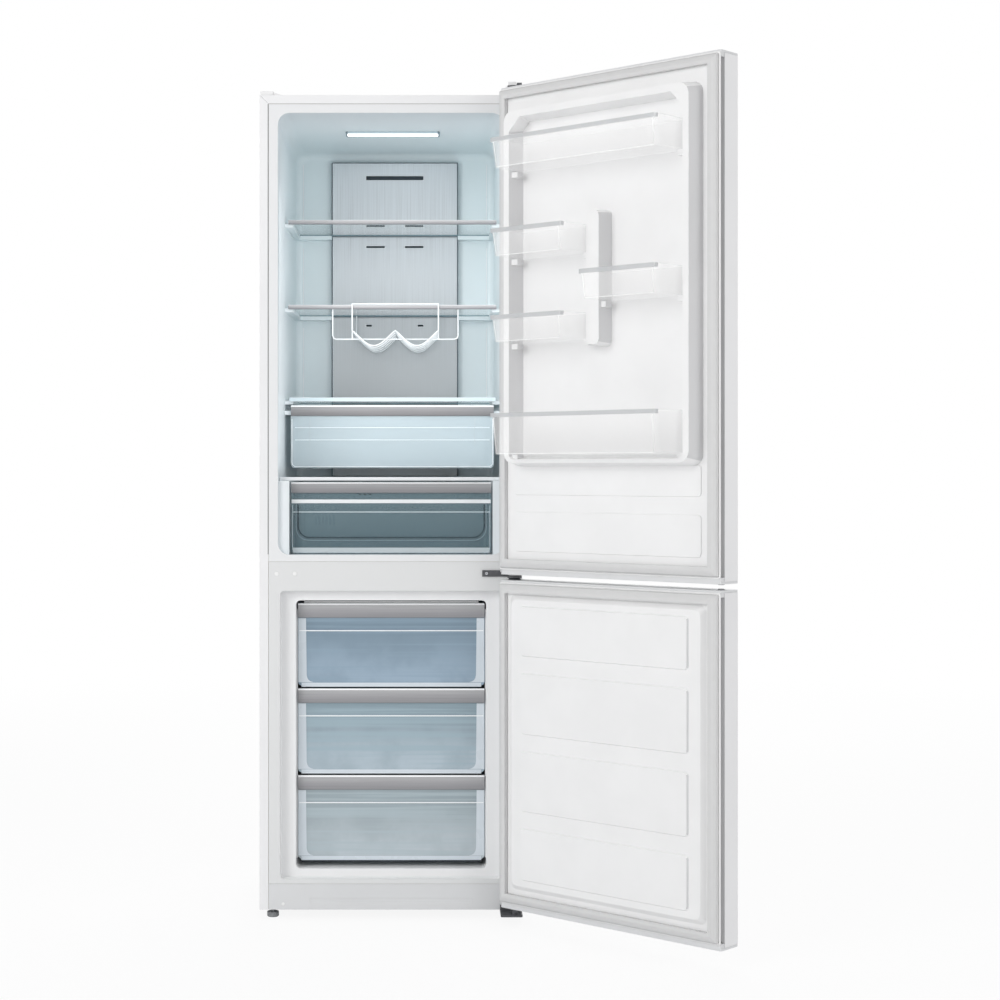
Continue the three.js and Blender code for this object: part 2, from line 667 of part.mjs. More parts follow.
function fridgeSpace(grow = 0) {
  const room = compartment(
    { x0: -FRIDGE_HALF, x1: FRIDGE_HALF, z0: FRIDGE_FLOOR, z1: FRIDGE_CEILING },
    { x0: -BACK_WALL_X, x1: BACK_WALL_X, z0: FRIDGE_FLOOR, z1: FRIDGE_CEILING - CEILING_DROP },
    FRIDGE_DEPTH, FRIDGE_CORNER, grow,
  );
  const outside = FRIDGE_HALF + grow + 1;
  const [floor, blockTop] = [FRIDGE_FLOOR - grow - 1, BAY_TOP - grow];
  const [blockFront, blockBack] = [BAY_SET_BACK + grow, FRIDGE_DEPTH + grow + 1];
  return cut(
    room,
    box(-outside, -BAY_HALF - grow, blockFront, blockBack, floor, blockTop),
    box(BAY_HALF + grow, outside, blockFront, blockBack, floor, blockTop),
  );
}

function freezerSpace(grow = 0) {
  const frame = FREEZER_FRAME_HALF + grow;
  const recess = runBack(
    roundedShape(-frame, frame, FREEZER_FRAME_BOTTOM - grow, FREEZER_FRAME_TOP + grow, FREEZER_CORNER),
    -MOUTH_REACH, FREEZER_FRAME_RECESS + grow,
  );
  const walls = { x0: -FREEZER_HALF, x1: FREEZER_HALF, z0: FREEZER_FLOOR, z1: FREEZER_CEILING };
  const room = compartment(walls, walls, FREEZER_DEPTH, FREEZER_CORNER, grow);
  const step = box(
    -frame, frame, FREEZER_STEP_DEPTH + grow, FREEZER_DEPTH + grow + 1,
    FREEZER_FLOOR - grow - 1, FREEZER_STEP_TOP - grow,
  );
  return join(recess, cut(room, step));
}

// A plastic liner: a frame on the cabinet's front and a wall round the compartment.
function linerOf(space, frameBottom, frameTop, additions) {
  const face = LINER_SET_BACK;
  const frame = box(-FRAME_HALF, FRAME_HALF, face, face + LINER_WALL, frameBottom, frameTop);
  const ahead = box(-CABINET_WIDTH, CABINET_WIDTH, -2 * MOUTH_REACH, face, 0, CABINET_TOP);
  const walls = cut(space(LINER_WALL), ahead);
  const shell = cut(join(frame, walls), space(0));
  const ribs = additions.map((piece) => clip(piece, cut(space(LINER_WALL / 2), ahead)));
  return join(shell, ...ribs);
}

function mirrored(x0, x1, ...rest) {
  return [box(x0, x1, ...rest), box(-x1, -x0, ...rest)];
}

// ---------------------------------------------------------------- cabinet

function makeCabinetShell() {
  const inner = CABINET_HALF - SHEET;
  const walls = cut(
    box(-CABINET_HALF, CABINET_HALF, 0, CABINET_DEPTH, CABINET_BOTTOM, CABINET_TOP),
    box(-inner, inner, SHEET, CABINET_DEPTH + 1, CABINET_BOTTOM - 1, CABINET_TOP - SHEET),
    box(
      -CABINET_HALF + FLANGE, CABINET_HALF - FLANGE, -1, SHEET + 1,
      CABINET_BOTTOM - 1, CABINET_TOP - FLANGE,
    ),
  );
  place('cabinet_shell', walls, whiteSteel);
}

function makeBackPanel() {
  const half = CABINET_HALF - SHEET - SEAT_GAP;
  const panel = box(
    -half, half, BACK_PANEL_Y, BACK_PANEL_Y + SHEET, MACHINE_TOP + SEAT_GAP, CABINET_TOP - SHEET - SEAT_GAP,
  );
  place('cabinet_back_panel', panel, galvanised);
}

function makeInsulation() {
  const half = CABINET_HALF - SHEET - SEAT_GAP;
  const lining = LINER_WALL + SEAT_GAP;
  const front = LINER_SET_BACK + lining;
  const block = box(
    -half, half, front, BACK_PANEL_Y - SEAT_GAP,
    CABINET_BOTTOM + BASE_SHEET + SEAT_GAP, CABINET_TOP - SHEET - SEAT_GAP,
  );
  const machineRoom = box(-half - 1, half + 1, MACHINE_FRONT, CABINET_DEPTH, 0, MACHINE_TOP);
  const studWells = [-1, 1].map((side) => bar(
    STUD_RADIUS + SLIDE_GAP, 'z', [side * FOOT_X, FOOT_BACK, 0], STUD_TOP + SLIDE_GAP,
  ));
  place(
    'insulation_foam',
    cut(block, fridgeSpace(lining), freezerSpace(lining), machineRoom, ...studWells), foam,
  );
}

// The ledges that carry a shelf: one along each side wall and one each side of the air duct.
function shelfLedges(trimBottom) {
  const top = trimBottom + GLASS_RISE - SEAT_GAP;
  const [low, behindTrim] = [top - LEDGE_HEIGHT, SHELF_FRONT + TRIM_DEPTH + SLIDE_GAP];
  const inner = SHELF_HALF - LEDGE_REACH;
  return [
    ...mirrored(inner, FRIDGE_HALF + LINER_WALL, behindTrim, SHELF_BACK, low, top),
    ...mirrored(
      DUCT_HALF + SLIDE_GAP, FRIDGE_HALF, SHELF_BACK - LEDGE_REACH, FRIDGE_DEPTH + LINER_WALL, low, top,
    ),
  ];
}

function makeFridgeLiner() {
  const railTop = UPPER_CRISPER_TOP - CRISPER_RIM_DROP - RIM_SHEET - SEAT_GAP;
  const rails = mirrored(
    UPPER_CRISPER_HALF - CRISPER_RIM + SLIDE_GAP, FRIDGE_HALF + LINER_WALL,
    SHELF_FRONT + BAND_THICKNESS + SLIDE_GAP, CRISPER_BACK, railTop - LEDGE_HEIGHT, railTop,
  );
  const ledges = [UPPER_SHELF_Z, LOWER_SHELF_Z, CRISPER_COVER_Z].flatMap(shelfLedges);
  const shell = linerOf(fridgeSpace, FRAME_SEAM + SEAT_GAP / 2, FRAME_TOP, [...ledges, ...rails]);
  const grille = [];
  const low = FRIDGE_FLOOR + GRILLE_RISE;
  for (let slot = 0; slot < GRILLE_SLOTS; slot += 1) {
    const x = GRILLE_INSET - BAY_HALF + slot * GRILLE_PITCH;
    grille.push(box(
      x, x + GRILLE_SLOT, FRIDGE_DEPTH - 1, FRIDGE_DEPTH + GRILLE_DEPTH, low, low + GRILLE_HEIGHT,
    ));
  }
  place('fridge_liner', cut(shell, ...grille), whitePlastic);
}

function makeFreezerLiner() {
  const rails = FREEZER_DRAWERS.flatMap(({ top, back }) => {
    const railTop = top - DRAWER_RIM_DROP - RIM_SHEET - SEAT_GAP;
    return mirrored(
      DRAWER_HALF - DRAWER_RIM + SLIDE_GAP, FREEZER_HALF + LINER_WALL,
      DRAWER_FRONT + BAND_THICKNESS + SLIDE_GAP, back, railTop - LEDGE_HEIGHT, railTop,
    );
  });
  const liner = linerOf(freezerSpace, BASE_PANEL_TOP + SEAT_GAP, FRAME_SEAM - SEAT_GAP / 2, rails);
  place('freezer_liner', liner, whitePlastic);
}

function makeBaseFrontPanel() {
  const face = LINER_SET_BACK;
  const panel = box(-FRAME_HALF, FRAME_HALF, face, face + LINER_WALL, CABINET_BOTTOM, BASE_PANEL_TOP);
  const groove = box(
    -BASE_GROOVE_HALF, BASE_GROOVE_HALF, face - 1, face + BASE_GROOVE_DEPTH,
    BASE_GROOVE_Z, BASE_GROOVE_Z + BASE_GROOVE_HEIGHT,
  );
  place('base_front_panel', cut(panel, groove), whitePlastic);
}

// ---------------------------------------------------------------- machine compartment

function makeBasePlate() {
  const half = CABINET_HALF - SHEET - SEAT_GAP;
  const front = LINER_SET_BACK + LINER_WALL + SEAT_GAP;
  const top = CABINET_BOTTOM + BASE_SHEET;
  const plate = box(-half, half, front, BACK_PANEL_Y - SEAT_GAP, CABINET_BOTTOM, top);
  const cuts = [];
  const tabs = [];
  for (const side of [-1, 1]) {
    const x = side * ROLLER_X;
    const opening = ROLLER_WIDTH / 2 + SLIDE_GAP;
    const room = ROLLER_RADIUS + SLIDE_GAP;
    cuts.push(bar(STUD_RADIUS + PIN_GAP, 'z', [side * FOOT_X, FOOT_BACK, 0], top + 1));
    cuts.push(box(x - opening, x + opening, ROLLER_Y - room, ROLLER_Y + room, CABINET_BOTTOM - 1, top + 1));
    for (const edge of [x - opening - TAB_SHEET, x + opening]) {
      const tab = box(
        edge, edge + TAB_SHEET, ROLLER_Y - TAB_HALF, ROLLER_Y + TAB_HALF, ROLLER_RADIUS - TAB_HALF, top,
      );
      const hole = bar(AXLE_RADIUS + PIN_GAP, 'x', [edge - 1, ROLLER_Y, ROLLER_RADIUS], TAB_SHEET + 2);
      tabs.push(cut(tab, hole));
    }
  }
  place('base_plate', join(cut(plate, ...cuts), ...tabs), galvanised);
}

function makeCompressor() {
  const foot = CABINET_BOTTOM + BASE_SHEET + SEAT_GAP;
  const [radius, height] = [COMPRESSOR_RADIUS, COMPRESSOR_HEIGHT];
  const outline = [
    [0, foot + GROMMET_HEIGHT + 3], [radius * 0.7, foot + GROMMET_HEIGHT + 5],
    [radius * 0.94, foot + height * 0.22], [radius, foot + height * 0.4],
    [radius, foot + height * 0.62], [radius * 0.92, foot + height * 0.84],
    [radius * 0.6, foot + height * 0.98], [0, foot + height],
  ];
  const can = new THREE.LatheGeometry(outline.map(([r, z]) => new THREE.Vector2(r, z)), ROUND_SIDES);
  can.rotateX(Math.PI / 2).translate(COMPRESSOR_X, COMPRESSOR_Y, 0);
  const [reach, halfDepth] = [radius + CARRIER_REACH, CARRIER_DEPTH / 2];
  const carrier = box(
    COMPRESSOR_X - reach, COMPRESSOR_X + reach, COMPRESSOR_Y - halfDepth, COMPRESSOR_Y + halfDepth,
    foot + GROMMET_HEIGHT, foot + GROMMET_HEIGHT + CARRIER_SHEET,
  );
  const grommets = [];
  for (const x of [-1, 1]) {
    for (const y of [-1, 1]) {
      const fromEdge = GROMMET_RADIUS + 2;
      const centre = [COMPRESSOR_X + x * (reach - fromEdge), COMPRESSOR_Y + y * (halfDepth - fromEdge), foot];
      grommets.push(bar(GROMMET_RADIUS, 'z', centre, GROMMET_HEIGHT + 1));
    }
  }
  place('compressor', join(can, carrier, ...grommets), blackSteel);
}

function makeDrainPan() {
  const bottom = CABINET_BOTTOM + BASE_SHEET + COMPRESSOR_HEIGHT + 2 * SEAT_GAP;
  const ring = (inset) => ({
    u0: COMPRESSOR_X - PAN_LONG_HALF + inset, u1: COMPRESSOR_X + PAN_LONG_HALF - inset,
    v0: COMPRESSOR_Y - PAN_HALF + inset, v1: COMPRESSOR_Y + PAN_HALF - inset,
  });
  const pan = tub(ring(PAN_TAPER), ring(0), bottom, bottom + PAN_HEIGHT, PAN_WALL, PAN_CORNER);
  place('drain_pan', pan, darkPlastic);
}

function makeMachineCover() {
  const half = CABINET_HALF - SHEET - SEAT_GAP;
  const low = CABINET_BOTTOM + BASE_SHEET + SEAT_GAP;
  const panel = box(-half, half, BACK_PANEL_Y, BACK_PANEL_Y + SHEET, low, MACHINE_TOP - SEAT_GAP);
  const vents = [];
  for (let row = 0; row < VENT_ROWS; row += 1) {
    const z = low + VENT_MARGIN + row * VENT_PITCH;
    const [x0, x1] = [VENT_MARGIN, VENT_MARGIN + VENT_LENGTH];
    vents.push(...mirrored(x0, x1, BACK_PANEL_Y - 1, CABINET_DEPTH, z, z + VENT_HEIGHT));
  }
  place('machine_cover', cut(panel, ...vents), galvanised);
}

function makeFeet() {
  for (const [name, side] of [['left_foot', -1], ['right_foot', 1]]) {
    const outline = [
      [0, 0], [FOOT_RADIUS - FOOT_CHAMFER, 0], [FOOT_RADIUS, FOOT_CHAMFER], [FOOT_RADIUS, FOOT_HEIGHT],
      [STUD_RADIUS, FOOT_HEIGHT], [STUD_RADIUS, STUD_TOP], [0, STUD_TOP],
    ];
    const foot = new THREE.LatheGeometry(outline.map(([r, z]) => new THREE.Vector2(r, z)), ROUND_SIDES);
    foot.rotateX(Math.PI / 2);
    place(name, fromSolid(solid(foot)), greyPlastic).position.set(side * FOOT_X, FOOT_BACK, 0);
  }
}

function makeRollers() {
  for (const [name, side] of [['left_rear_roller', -1], ['right_rear_roller', 1]]) {
    const axleHalf = ROLLER_WIDTH / 2 + SLIDE_GAP + TAB_SHEET;
    const wheel = bar(ROLLER_RADIUS, 'x', [-ROLLER_WIDTH / 2, 0, 0], ROLLER_WIDTH);
    const axle = bar(AXLE_RADIUS, 'x', [-axleHalf, 0, 0], 2 * axleHalf);
    place(name, join(wheel, axle), darkPlastic).position.set(side * ROLLER_X, ROLLER_Y, ROLLER_RADIUS);
  }
}

// ---------------------------------------------------------------- air, light and cold

function makeFridgeDuctCover() {
  const back = FRIDGE_DEPTH - SEAT_GAP;
  const front = back - DUCT_THICKNESS;
  const panel = box(-DUCT_HALF, DUCT_HALF, front, back, DUCT_BOTTOM, DUCT_TOP);
  const slotBack = front + DUCT_SLOT_DEPTH;
  const barLow = DUCT_TOP - DUCT_BAR_DROP;
  const slots = [
    box(-DUCT_BAR_HALF, DUCT_BAR_HALF, front - 1, slotBack, barLow, barLow + 2 * DUCT_SLOT),
  ];
  for (const drop of DUCT_SLOT_DROPS) {
    const low = DUCT_TOP - drop;
    slots.push(...mirrored(DUCT_SLOT_IN, DUCT_BAR_HALF, front - 1, slotBack, low, low + DUCT_SLOT));
  }
  const inner = DUCT_BAR_HALF - DUCT_SMALL_SLOT;
  const smallLow = DUCT_TOP - DUCT_SMALL_DROP;
  slots.push(...mirrored(inner, DUCT_BAR_HALF, front - 1, slotBack, smallLow, smallLow + DUCT_SLOT));
  place('fridge_duct_cover', cut(panel, ...slots), satinMetal);
}

function makeLamp() {
  const slope = Math.atan(CEILING_DROP / FRIDGE_DEPTH);
  const middle = LAMP_FRONT + LAMP_WIDTH / 2;
  const ceiling = FRIDGE_CEILING - CEILING_DROP * (middle / FRIDGE_DEPTH);
  const [halfLength, halfWidth] = [LAMP_LENGTH / 2, LAMP_WIDTH / 2];
  const lens = raised(
    roundedShape(-halfLength, halfLength, -halfWidth, halfWidth, LAMP_CORNER), -LAMP_THICKNESS, 0,
  );
  const mesh = place('light_lens', lens, lampPlastic);
  mesh.rotation.x = -slope;
  mesh.position.set(0, middle, ceiling - SEAT_GAP);
}

function makeFreezerDuctCover() {
  const half = FREEZER_HALF - SEAT_GAP;
  const back = FREEZER_DUCT_FRONT + FREEZER_DUCT_THICKNESS;
  const front = FREEZER_DUCT_FRONT;
  const panel = box(-half, half, front, back, FREEZER_STEP_TOP + SEAT_GAP, FREEZER_CEILING - SEAT_GAP);
  const vents = [UPPER_DRAWER_TOP, MIDDLE_DRAWER_TOP].flatMap((top) => {
    const z = top - FREEZER_VENT_DROP;
    return FREEZER_VENTS.flatMap((x) => (
      mirrored(x, x + VENT_LENGTH, front - 1, back + 1, z, z + VENT_HEIGHT)
    ));
  });
  const motor = bar(FAN_HUB - 1, 'y', [0, back - 1, FAN_Z], MOTOR_LENGTH + 1);
  const pin = bar(AXLE_RADIUS, 'y', [0, back, FAN_Z], MOTOR_LENGTH + FAN_THICKNESS + AXLE_RADIUS);
  const fitted = clip(cut(panel, ...vents), freezerSpace(-SEAT_GAP));
  place('freezer_duct_cover', join(fitted, motor, pin), whitePlastic);
}

function makeFan() {
  const hub = bar(FAN_HUB, 'y', [0, 0, 0], FAN_THICKNESS);
  const blades = [];
  for (let blade = 0; blade < FAN_BLADES; blade += 1) {
    const paddle = box(
      FAN_HUB - FAN_BLADE_SHEET, FAN_RADIUS, -FAN_BLADE_SHEET / 2, FAN_BLADE_SHEET / 2,
      -FAN_BLADE_WIDTH / 2, FAN_BLADE_WIDTH / 2,
    );
    paddle.rotateX(FAN_BLADE_PITCH).translate(0, FAN_THICKNESS / 2, 0);
    blades.push(paddle.rotateY((2 * Math.PI * blade) / FAN_BLADES));
  }
  const bore = bar(AXLE_RADIUS + PIN_GAP, 'y', [0, -1, 0], FAN_THICKNESS + 2);
  const back = FREEZER_DUCT_FRONT + FREEZER_DUCT_THICKNESS + MOTOR_LENGTH + SEAT_GAP;
  place('evaporator_fan', cut(join(hub, ...blades), bore), darkPlastic).position.set(0, back, FAN_Z);
}

function makeEvaporator() {
  const back = FREEZER_DEPTH - SEAT_GAP;
  const pieces = [box(-COIL_HALF, COIL_HALF, back - COIL_PLATE, back, COIL_BOTTOM, COIL_TOP)];
  const pitch = (2 * COIL_HALF - COIL_FIN) / (COIL_FINS - 1);
  for (let fin = 0; fin < COIL_FINS; fin += 1) {
    const x = -COIL_HALF + fin * pitch;
    pieces.push(box(x, x + COIL_FIN, back - COIL_DEPTH, back - COIL_PLATE + 1, COIL_BOTTOM, COIL_TOP));
  }
  place('evaporator', join(...pieces), satinMetal);
}

// ---------------------------------------------------------------- shelves and covers

// A glass plate with a grooved trim pushed on its front edge.
function makeShelf(name, trimBottom, front, trimHalf, glassHalf) {
  const glassBottom = trimBottom + GLASS_RISE;
  const glassFront = front + TRIM_LIP;
  place(
    `${name}_glass`,
    box(-glassHalf, glassHalf, glassFront, SHELF_BACK, glassBottom, glassBottom + GLASS), glass,
  );
  const profile = polygon([
    [front, trimBottom + 1], [front + 1, trimBottom], [front + TRIM_DEPTH, trimBottom],
    [front + TRIM_DEPTH, glassBottom - SEAT_GAP], [glassFront - SEAT_GAP, glassBottom - SEAT_GAP],
    [glassFront - SEAT_GAP, glassBottom + GLASS + SEAT_GAP],
    [front + TRIM_DEPTH, glassBottom + GLASS + SEAT_GAP], [front + TRIM_DEPTH, trimBottom + TRIM_HEIGHT],
    [front + 1, trimBottom + TRIM_HEIGHT], [front, trimBottom + TRIM_HEIGHT - 1],
  ]);
  place(`${name}_trim`, runAcross(profile, -trimHalf, trimHalf), trimMetal);
}

function makeShelves() {
  makeShelf('upper_shelf', UPPER_SHELF_Z, SHELF_FRONT, SHELF_HALF + 2, SHELF_HALF);
  makeShelf('lower_shelf', LOWER_SHELF_Z, SHELF_FRONT, SHELF_HALF + 2, SHELF_HALF);
  makeShelf('crisper_cover', CRISPER_COVER_Z, SHELF_FRONT, SHELF_HALF, SHELF_HALF);
  // The bay's cover lies flat on the two shoulders of the liner, glass and trim alike.
  const front = BAY_COVER_FRONT;
  const low = BAY_TOP + SEAT_GAP;
  const profile = polygon([
    [front, low + 1], [front + 1, low], [front + TRIM_DEPTH, low],
    [front + TRIM_DEPTH, low + BAY_TRIM_HEIGHT], [front + 1, low + BAY_TRIM_HEIGHT],
    [front, low + BAY_TRIM_HEIGHT - 1],
  ]);
  place('bay_cover_trim', runAcross(profile, -BAY_TRIM_HALF, BAY_TRIM_HALF), trimMetal);
  place('bay_cover_glass', box(
    -SHELF_HALF, SHELF_HALF, front + TRIM_DEPTH + SEAT_GAP, SHELF_BACK, low, low + BAY_GLASS,
  ), glass);
}

// ---------------------------------------------------------------- wine rack

function wire(points, steps) {
  const section = new THREE.Shape();
  for (let side = 0; side <= WIRE_SIDES; side += 1) {
    const angle = (2 * Math.PI * side) / WIRE_SIDES;
    const [u, v] = [RACK_WIRE * Math.cos(angle), RACK_WIRE * Math.sin(angle)];
    if (side === 0) section.moveTo(u, v);
    else section.lineTo(u, v);
  }
  const path = points.length === 2
    ? new THREE.LineCurve3(points[0], points[1])
    : new THREE.CatmullRomCurve3(points);
  return new THREE.ExtrudeGeometry(section, { steps, extrudePath: path, bevelEnabled: false });
}

function rod(x0, y0, z0, x1, y1, z1) {
  return wire([new THREE.Vector3(x0, y0, z0), new THREE.Vector3(x1, y1, z1)], 1);
}

function makeWineRack() {
  const left = RACK_CENTRE - RACK_HALF;
  const right = RACK_CENTRE + RACK_HALF;
  const front = SHELF_FRONT - SEAT_GAP - RACK_WIRE;
  const hang = LOWER_SHELF_Z + TRIM_HEIGHT + SEAT_GAP + RACK_WIRE;
  const pieces = [];
  for (let row = 0; row < RACK_WIRE_COUNT; row += 1) {
    const y = front + ((RACK_BACK - front) * row) / (RACK_WIRE_COUNT - 1);
    const points = [];
    for (let step = 0; step <= RACK_STEPS; step += 1) {
      const share = step / RACK_STEPS;
      const sag = Math.abs(Math.sin(2 * Math.PI * share)) ** RACK_SAG_POWER;
      const x = left + 2 * RACK_HALF * share;
      points.push(new THREE.Vector3(x, y, RACK_PEAK_Z - RACK_CRADLE_DEPTH * sag));
    }
    pieces.push(wire(points, RACK_STEPS));
  }
  for (const x of [left, RACK_CENTRE, right]) {
    pieces.push(rod(x, front - RACK_WIRE, RACK_PEAK_Z, x, RACK_BACK + RACK_WIRE, RACK_PEAK_Z));
  }
  for (const x of [left, right]) {
    pieces.push(rod(x, front, RACK_PEAK_Z - RACK_WIRE, x, front, hang + RACK_WIRE / 2));
    pieces.push(rod(x, front - RACK_WIRE / 2, hang, x, front + 2 * TRIM_DEPTH, hang));
    pieces.push(rod(x, RACK_BACK, RACK_PEAK_Z, x, RACK_BACK, LOWER_SHELF_Z + GLASS_RISE - SEAT_GAP));
  }
  pieces.push(rod(left, front, hang, right, front, hang));
  const outerY = SHELF_FRONT + TRIM_DEPTH / 2;
  const outerLeft = RACK_CENTRE - RACK_FRAME_HALF;
  const outerRight = RACK_CENTRE + RACK_FRAME_HALF;
  pieces.push(rod(outerLeft - RACK_WIRE, outerY, RACK_RAIL_Z, outerRight + RACK_WIRE, outerY, RACK_RAIL_Z));
  for (const x of [outerLeft, outerRight]) {
    pieces.push(rod(x, outerY, RACK_RAIL_Z, x, outerY, LOWER_SHELF_Z - SEAT_GAP));
  }
  for (const x of [left, right]) {
    pieces.push(rod(x, outerY, RACK_RAIL_Z - RACK_WIRE / 2, x, outerY, RACK_PEAK_Z));
  }
  place('wine_rack', join(...pieces), whitePlastic);
}

// ---------------------------------------------------------------- crispers and freezer drawers

// A sliding box with a clear front plate, a rim along each side and a bright band on the front.
function makeDrawer(name, size, material) {
  const { half, front, back, bottom, top, wall, rim, rimDrop, bandHeight } = size;
  const lip = BAND_LIP;
  const body = half - rim;
  const bodyFront = front + wall / 2;
  const basket = tub(
    { u0: -body + DRAWER_TAPER, u1: body - DRAWER_TAPER, v0: bodyFront, v1: back - DRAWER_TAPER },
    { u0: -body, u1: body, v0: bodyFront, v1: back },
    bottom, top - rimDrop, wall, DRAWER_CORNER,
  );
  const plate = runBack(
    roundedShape(-half, half, bottom, top - lip - SEAT_GAP, DRAWER_CORNER), front, front + wall + 1,
  );
  const rims = cut(
    box(-half, half, front + wall, back + 2, top - rimDrop - RIM_SHEET, top - rimDrop),
    box(-body + wall, body - wall, front - 1, back - wall, top - rimDrop - RIM_SHEET - 1, top),
  );
  place(`${name}_box`, join(basket, plate, rims), material);
  const bandFront = front - SEAT_GAP - BAND_THICKNESS;
  const profile = polygon([
    [bandFront + 1, top - bandHeight], [front - SEAT_GAP, top - bandHeight], [front - SEAT_GAP, top - lip],
    [front + wall + 1, top - lip], [front + wall + 1, top], [bandFront + 2, top], [bandFront, top - lip],
    [bandFront, top - bandHeight + 2],
  ]);
  place(`${name}_band`, runAcross(profile, -half + BAND_INSET, half - BAND_INSET), trimMetal);
}

function makeCrispers() {
  const shared = {
    back: CRISPER_BACK, wall: CRISPER_WALL, rim: CRISPER_RIM, rimDrop: CRISPER_RIM_DROP,
    bandHeight: CRISPER_BAND_HEIGHT,
  };
  makeDrawer('upper_crisper', {
    ...shared, half: UPPER_CRISPER_HALF, front: SHELF_FRONT,
    bottom: UPPER_CRISPER_BOTTOM, top: UPPER_CRISPER_TOP,
  }, clearPlastic);
  makeDrawer('lower_crisper', {
    ...shared, half: LOWER_CRISPER_HALF, front: LOWER_CRISPER_FRONT, rim: LOWER_CRISPER_RIM,
    bottom: FRIDGE_FLOOR + SEAT_GAP, top: LOWER_CRISPER_TOP,
  }, smokedPlastic);
}

function makeFreezerDrawers() {
  FREEZER_DRAWERS.forEach(({ name, bottom, top, back }) => makeDrawer(name, {
    half: DRAWER_HALF, front: DRAWER_FRONT, bottom, top, back,
    wall: DRAWER_WALL, rim: DRAWER_RIM, rimDrop: DRAWER_RIM_DROP, bandHeight: DRAWER_BAND_HEIGHT,
  }, clearPlastic));
}

// ---------------------------------------------------------------- hinges

function makeTopHinge() {
  const leafBottom = UPPER_DOOR_TOP + SLIDE_GAP;
  const leafTop = leafBottom + HINGE_PLATE;
  const [x0, x1] = [PIVOT_X - HINGE_ARM_HALF, PIVOT_X + HINGE_ARM_HALF];
  const low = CABINET_TOP + SEAT_GAP;
  const tip = PIVOT_Y - HINGE_ARM_HALF;
  const riser = HINGE_RISER + HINGE_PLATE * 3;
  const coverTop = low + COVER_HEIGHT;
  const bracket = join(
    box(x0, x1, HINGE_RISER, HINGE_TAIL, low, low + HINGE_PLATE),
    box(x0, x1, HINGE_RISER, riser, low, leafTop),
    raised(roundedShape(x0, x1, tip, riser, HINGE_PLATE * 2), leafBottom, leafTop),
    bar(HINGE_PIN, 'z', [PIVOT_X, PIVOT_Y, UPPER_DOOR_TOP - PIN_LENGTH], PIN_LENGTH + SLIDE_GAP + 1),
    bar(HINGE_PIN * 2, 'z', [PIVOT_X, PIVOT_Y, UPPER_DOOR_TOP + SEAT_GAP], SLIDE_GAP),
    box(
      PIVOT_X + HINGE_PIN + 1, x1, tip + HINGE_PLATE, tip + HINGE_ARM_HALF * 2,
      leafTop - 1, coverTop - HINGE_STOP_BELOW,
    ),
  );
  place('top_hinge_bracket', bracket, darkSteel);
  const side = HINGE_ARM_HALF + SEAT_GAP;
  const outer = side + COVER_WALL;
  const back = HINGE_TAIL + SEAT_GAP;
  const cover = cut(
    box(PIVOT_X - outer, PIVOT_X + outer, 1, back + COVER_WALL, low, coverTop),
    box(PIVOT_X - side, PIVOT_X + side, 0, back, low - 1, coverTop - COVER_WALL),
  );
  const tongue = box(
    PIVOT_X - side + 1, PIVOT_X + HINGE_PIN, tip + HINGE_TIP_INSET, 3, leafTop + SEAT_GAP, coverTop,
  );
  place('top_hinge_cover', join(cover, tongue), whitePlastic);
}

function makeSpareCap() {
  const low = CABINET_TOP + SEAT_GAP;
  const x0 = -CABINET_HALF + SPARE_CAP_INSET;
  const x1 = x0 + SPARE_CAP_WIDTH;
  const lid = box(x0, x1, SPARE_CAP_FRONT, SPARE_CAP_LENGTH, low, low + SPARE_CAP_HEIGHT);
  const slope = [[x1 - 1, low], [x1 + SPARE_WEDGE, low], [x1 - 1, low + SPARE_CAP_HEIGHT - 1]];
  const wedge = runBack(polygon(slope), 2 * SPARE_CAP_FRONT, SPARE_CAP_LENGTH / 2);
  place('spare_hinge_cap', join(lid, wedge), whitePlastic);
}

function makeMiddleHinge() {
  const low = MIDDLE_PLATE_BOTTOM;
  const [front, face] = [1 - HINGE_PLATE, LINER_SET_BACK - SEAT_GAP];
  const [x0, x1] = [PIVOT_X - HINGE_ARM_HALF, PIVOT_X + HINGE_ARM_HALF];
  const frameEdge = CABINET_HALF - FLANGE - 1;
  const [plateTop, doorGap] = [low + MIDDLE_PLATE_HEIGHT, UPPER_DOOR_BOTTOM - LOWER_DOOR_TOP];
  const screw = [MIDDLE_PLATE_LEFT + MIDDLE_SCREW_INSET, -HINGE_PLATE - 1, low + MIDDLE_PLATE_HEIGHT / 2];
  const bracket = join(
    box(MIDDLE_PLATE_LEFT, x1 - 2, front, face - FLANGE_CLEAR, low, plateTop),
    box(MIDDLE_PLATE_LEFT, frameEdge, front, face, low, plateTop),
    raised(roundedShape(x0, x1, PIVOT_Y - HINGE_ARM_HALF, -1, HINGE_PLATE * 2), low, low + HINGE_PLATE),
    bar(HINGE_PIN, 'z', [PIVOT_X, PIVOT_Y, LOWER_DOOR_TOP - PIN_LENGTH], doorGap + 2 * PIN_LENGTH),
    bar(HINGE_PIN * 2, 'z', [PIVOT_X, PIVOT_Y, LOWER_DOOR_TOP + SEAT_GAP], doorGap - 2 * SEAT_GAP),
    bar(HINGE_PIN, 'y', screw, HINGE_PLATE),
  );
  place('middle_hinge_bracket', bracket, darkSteel);
}

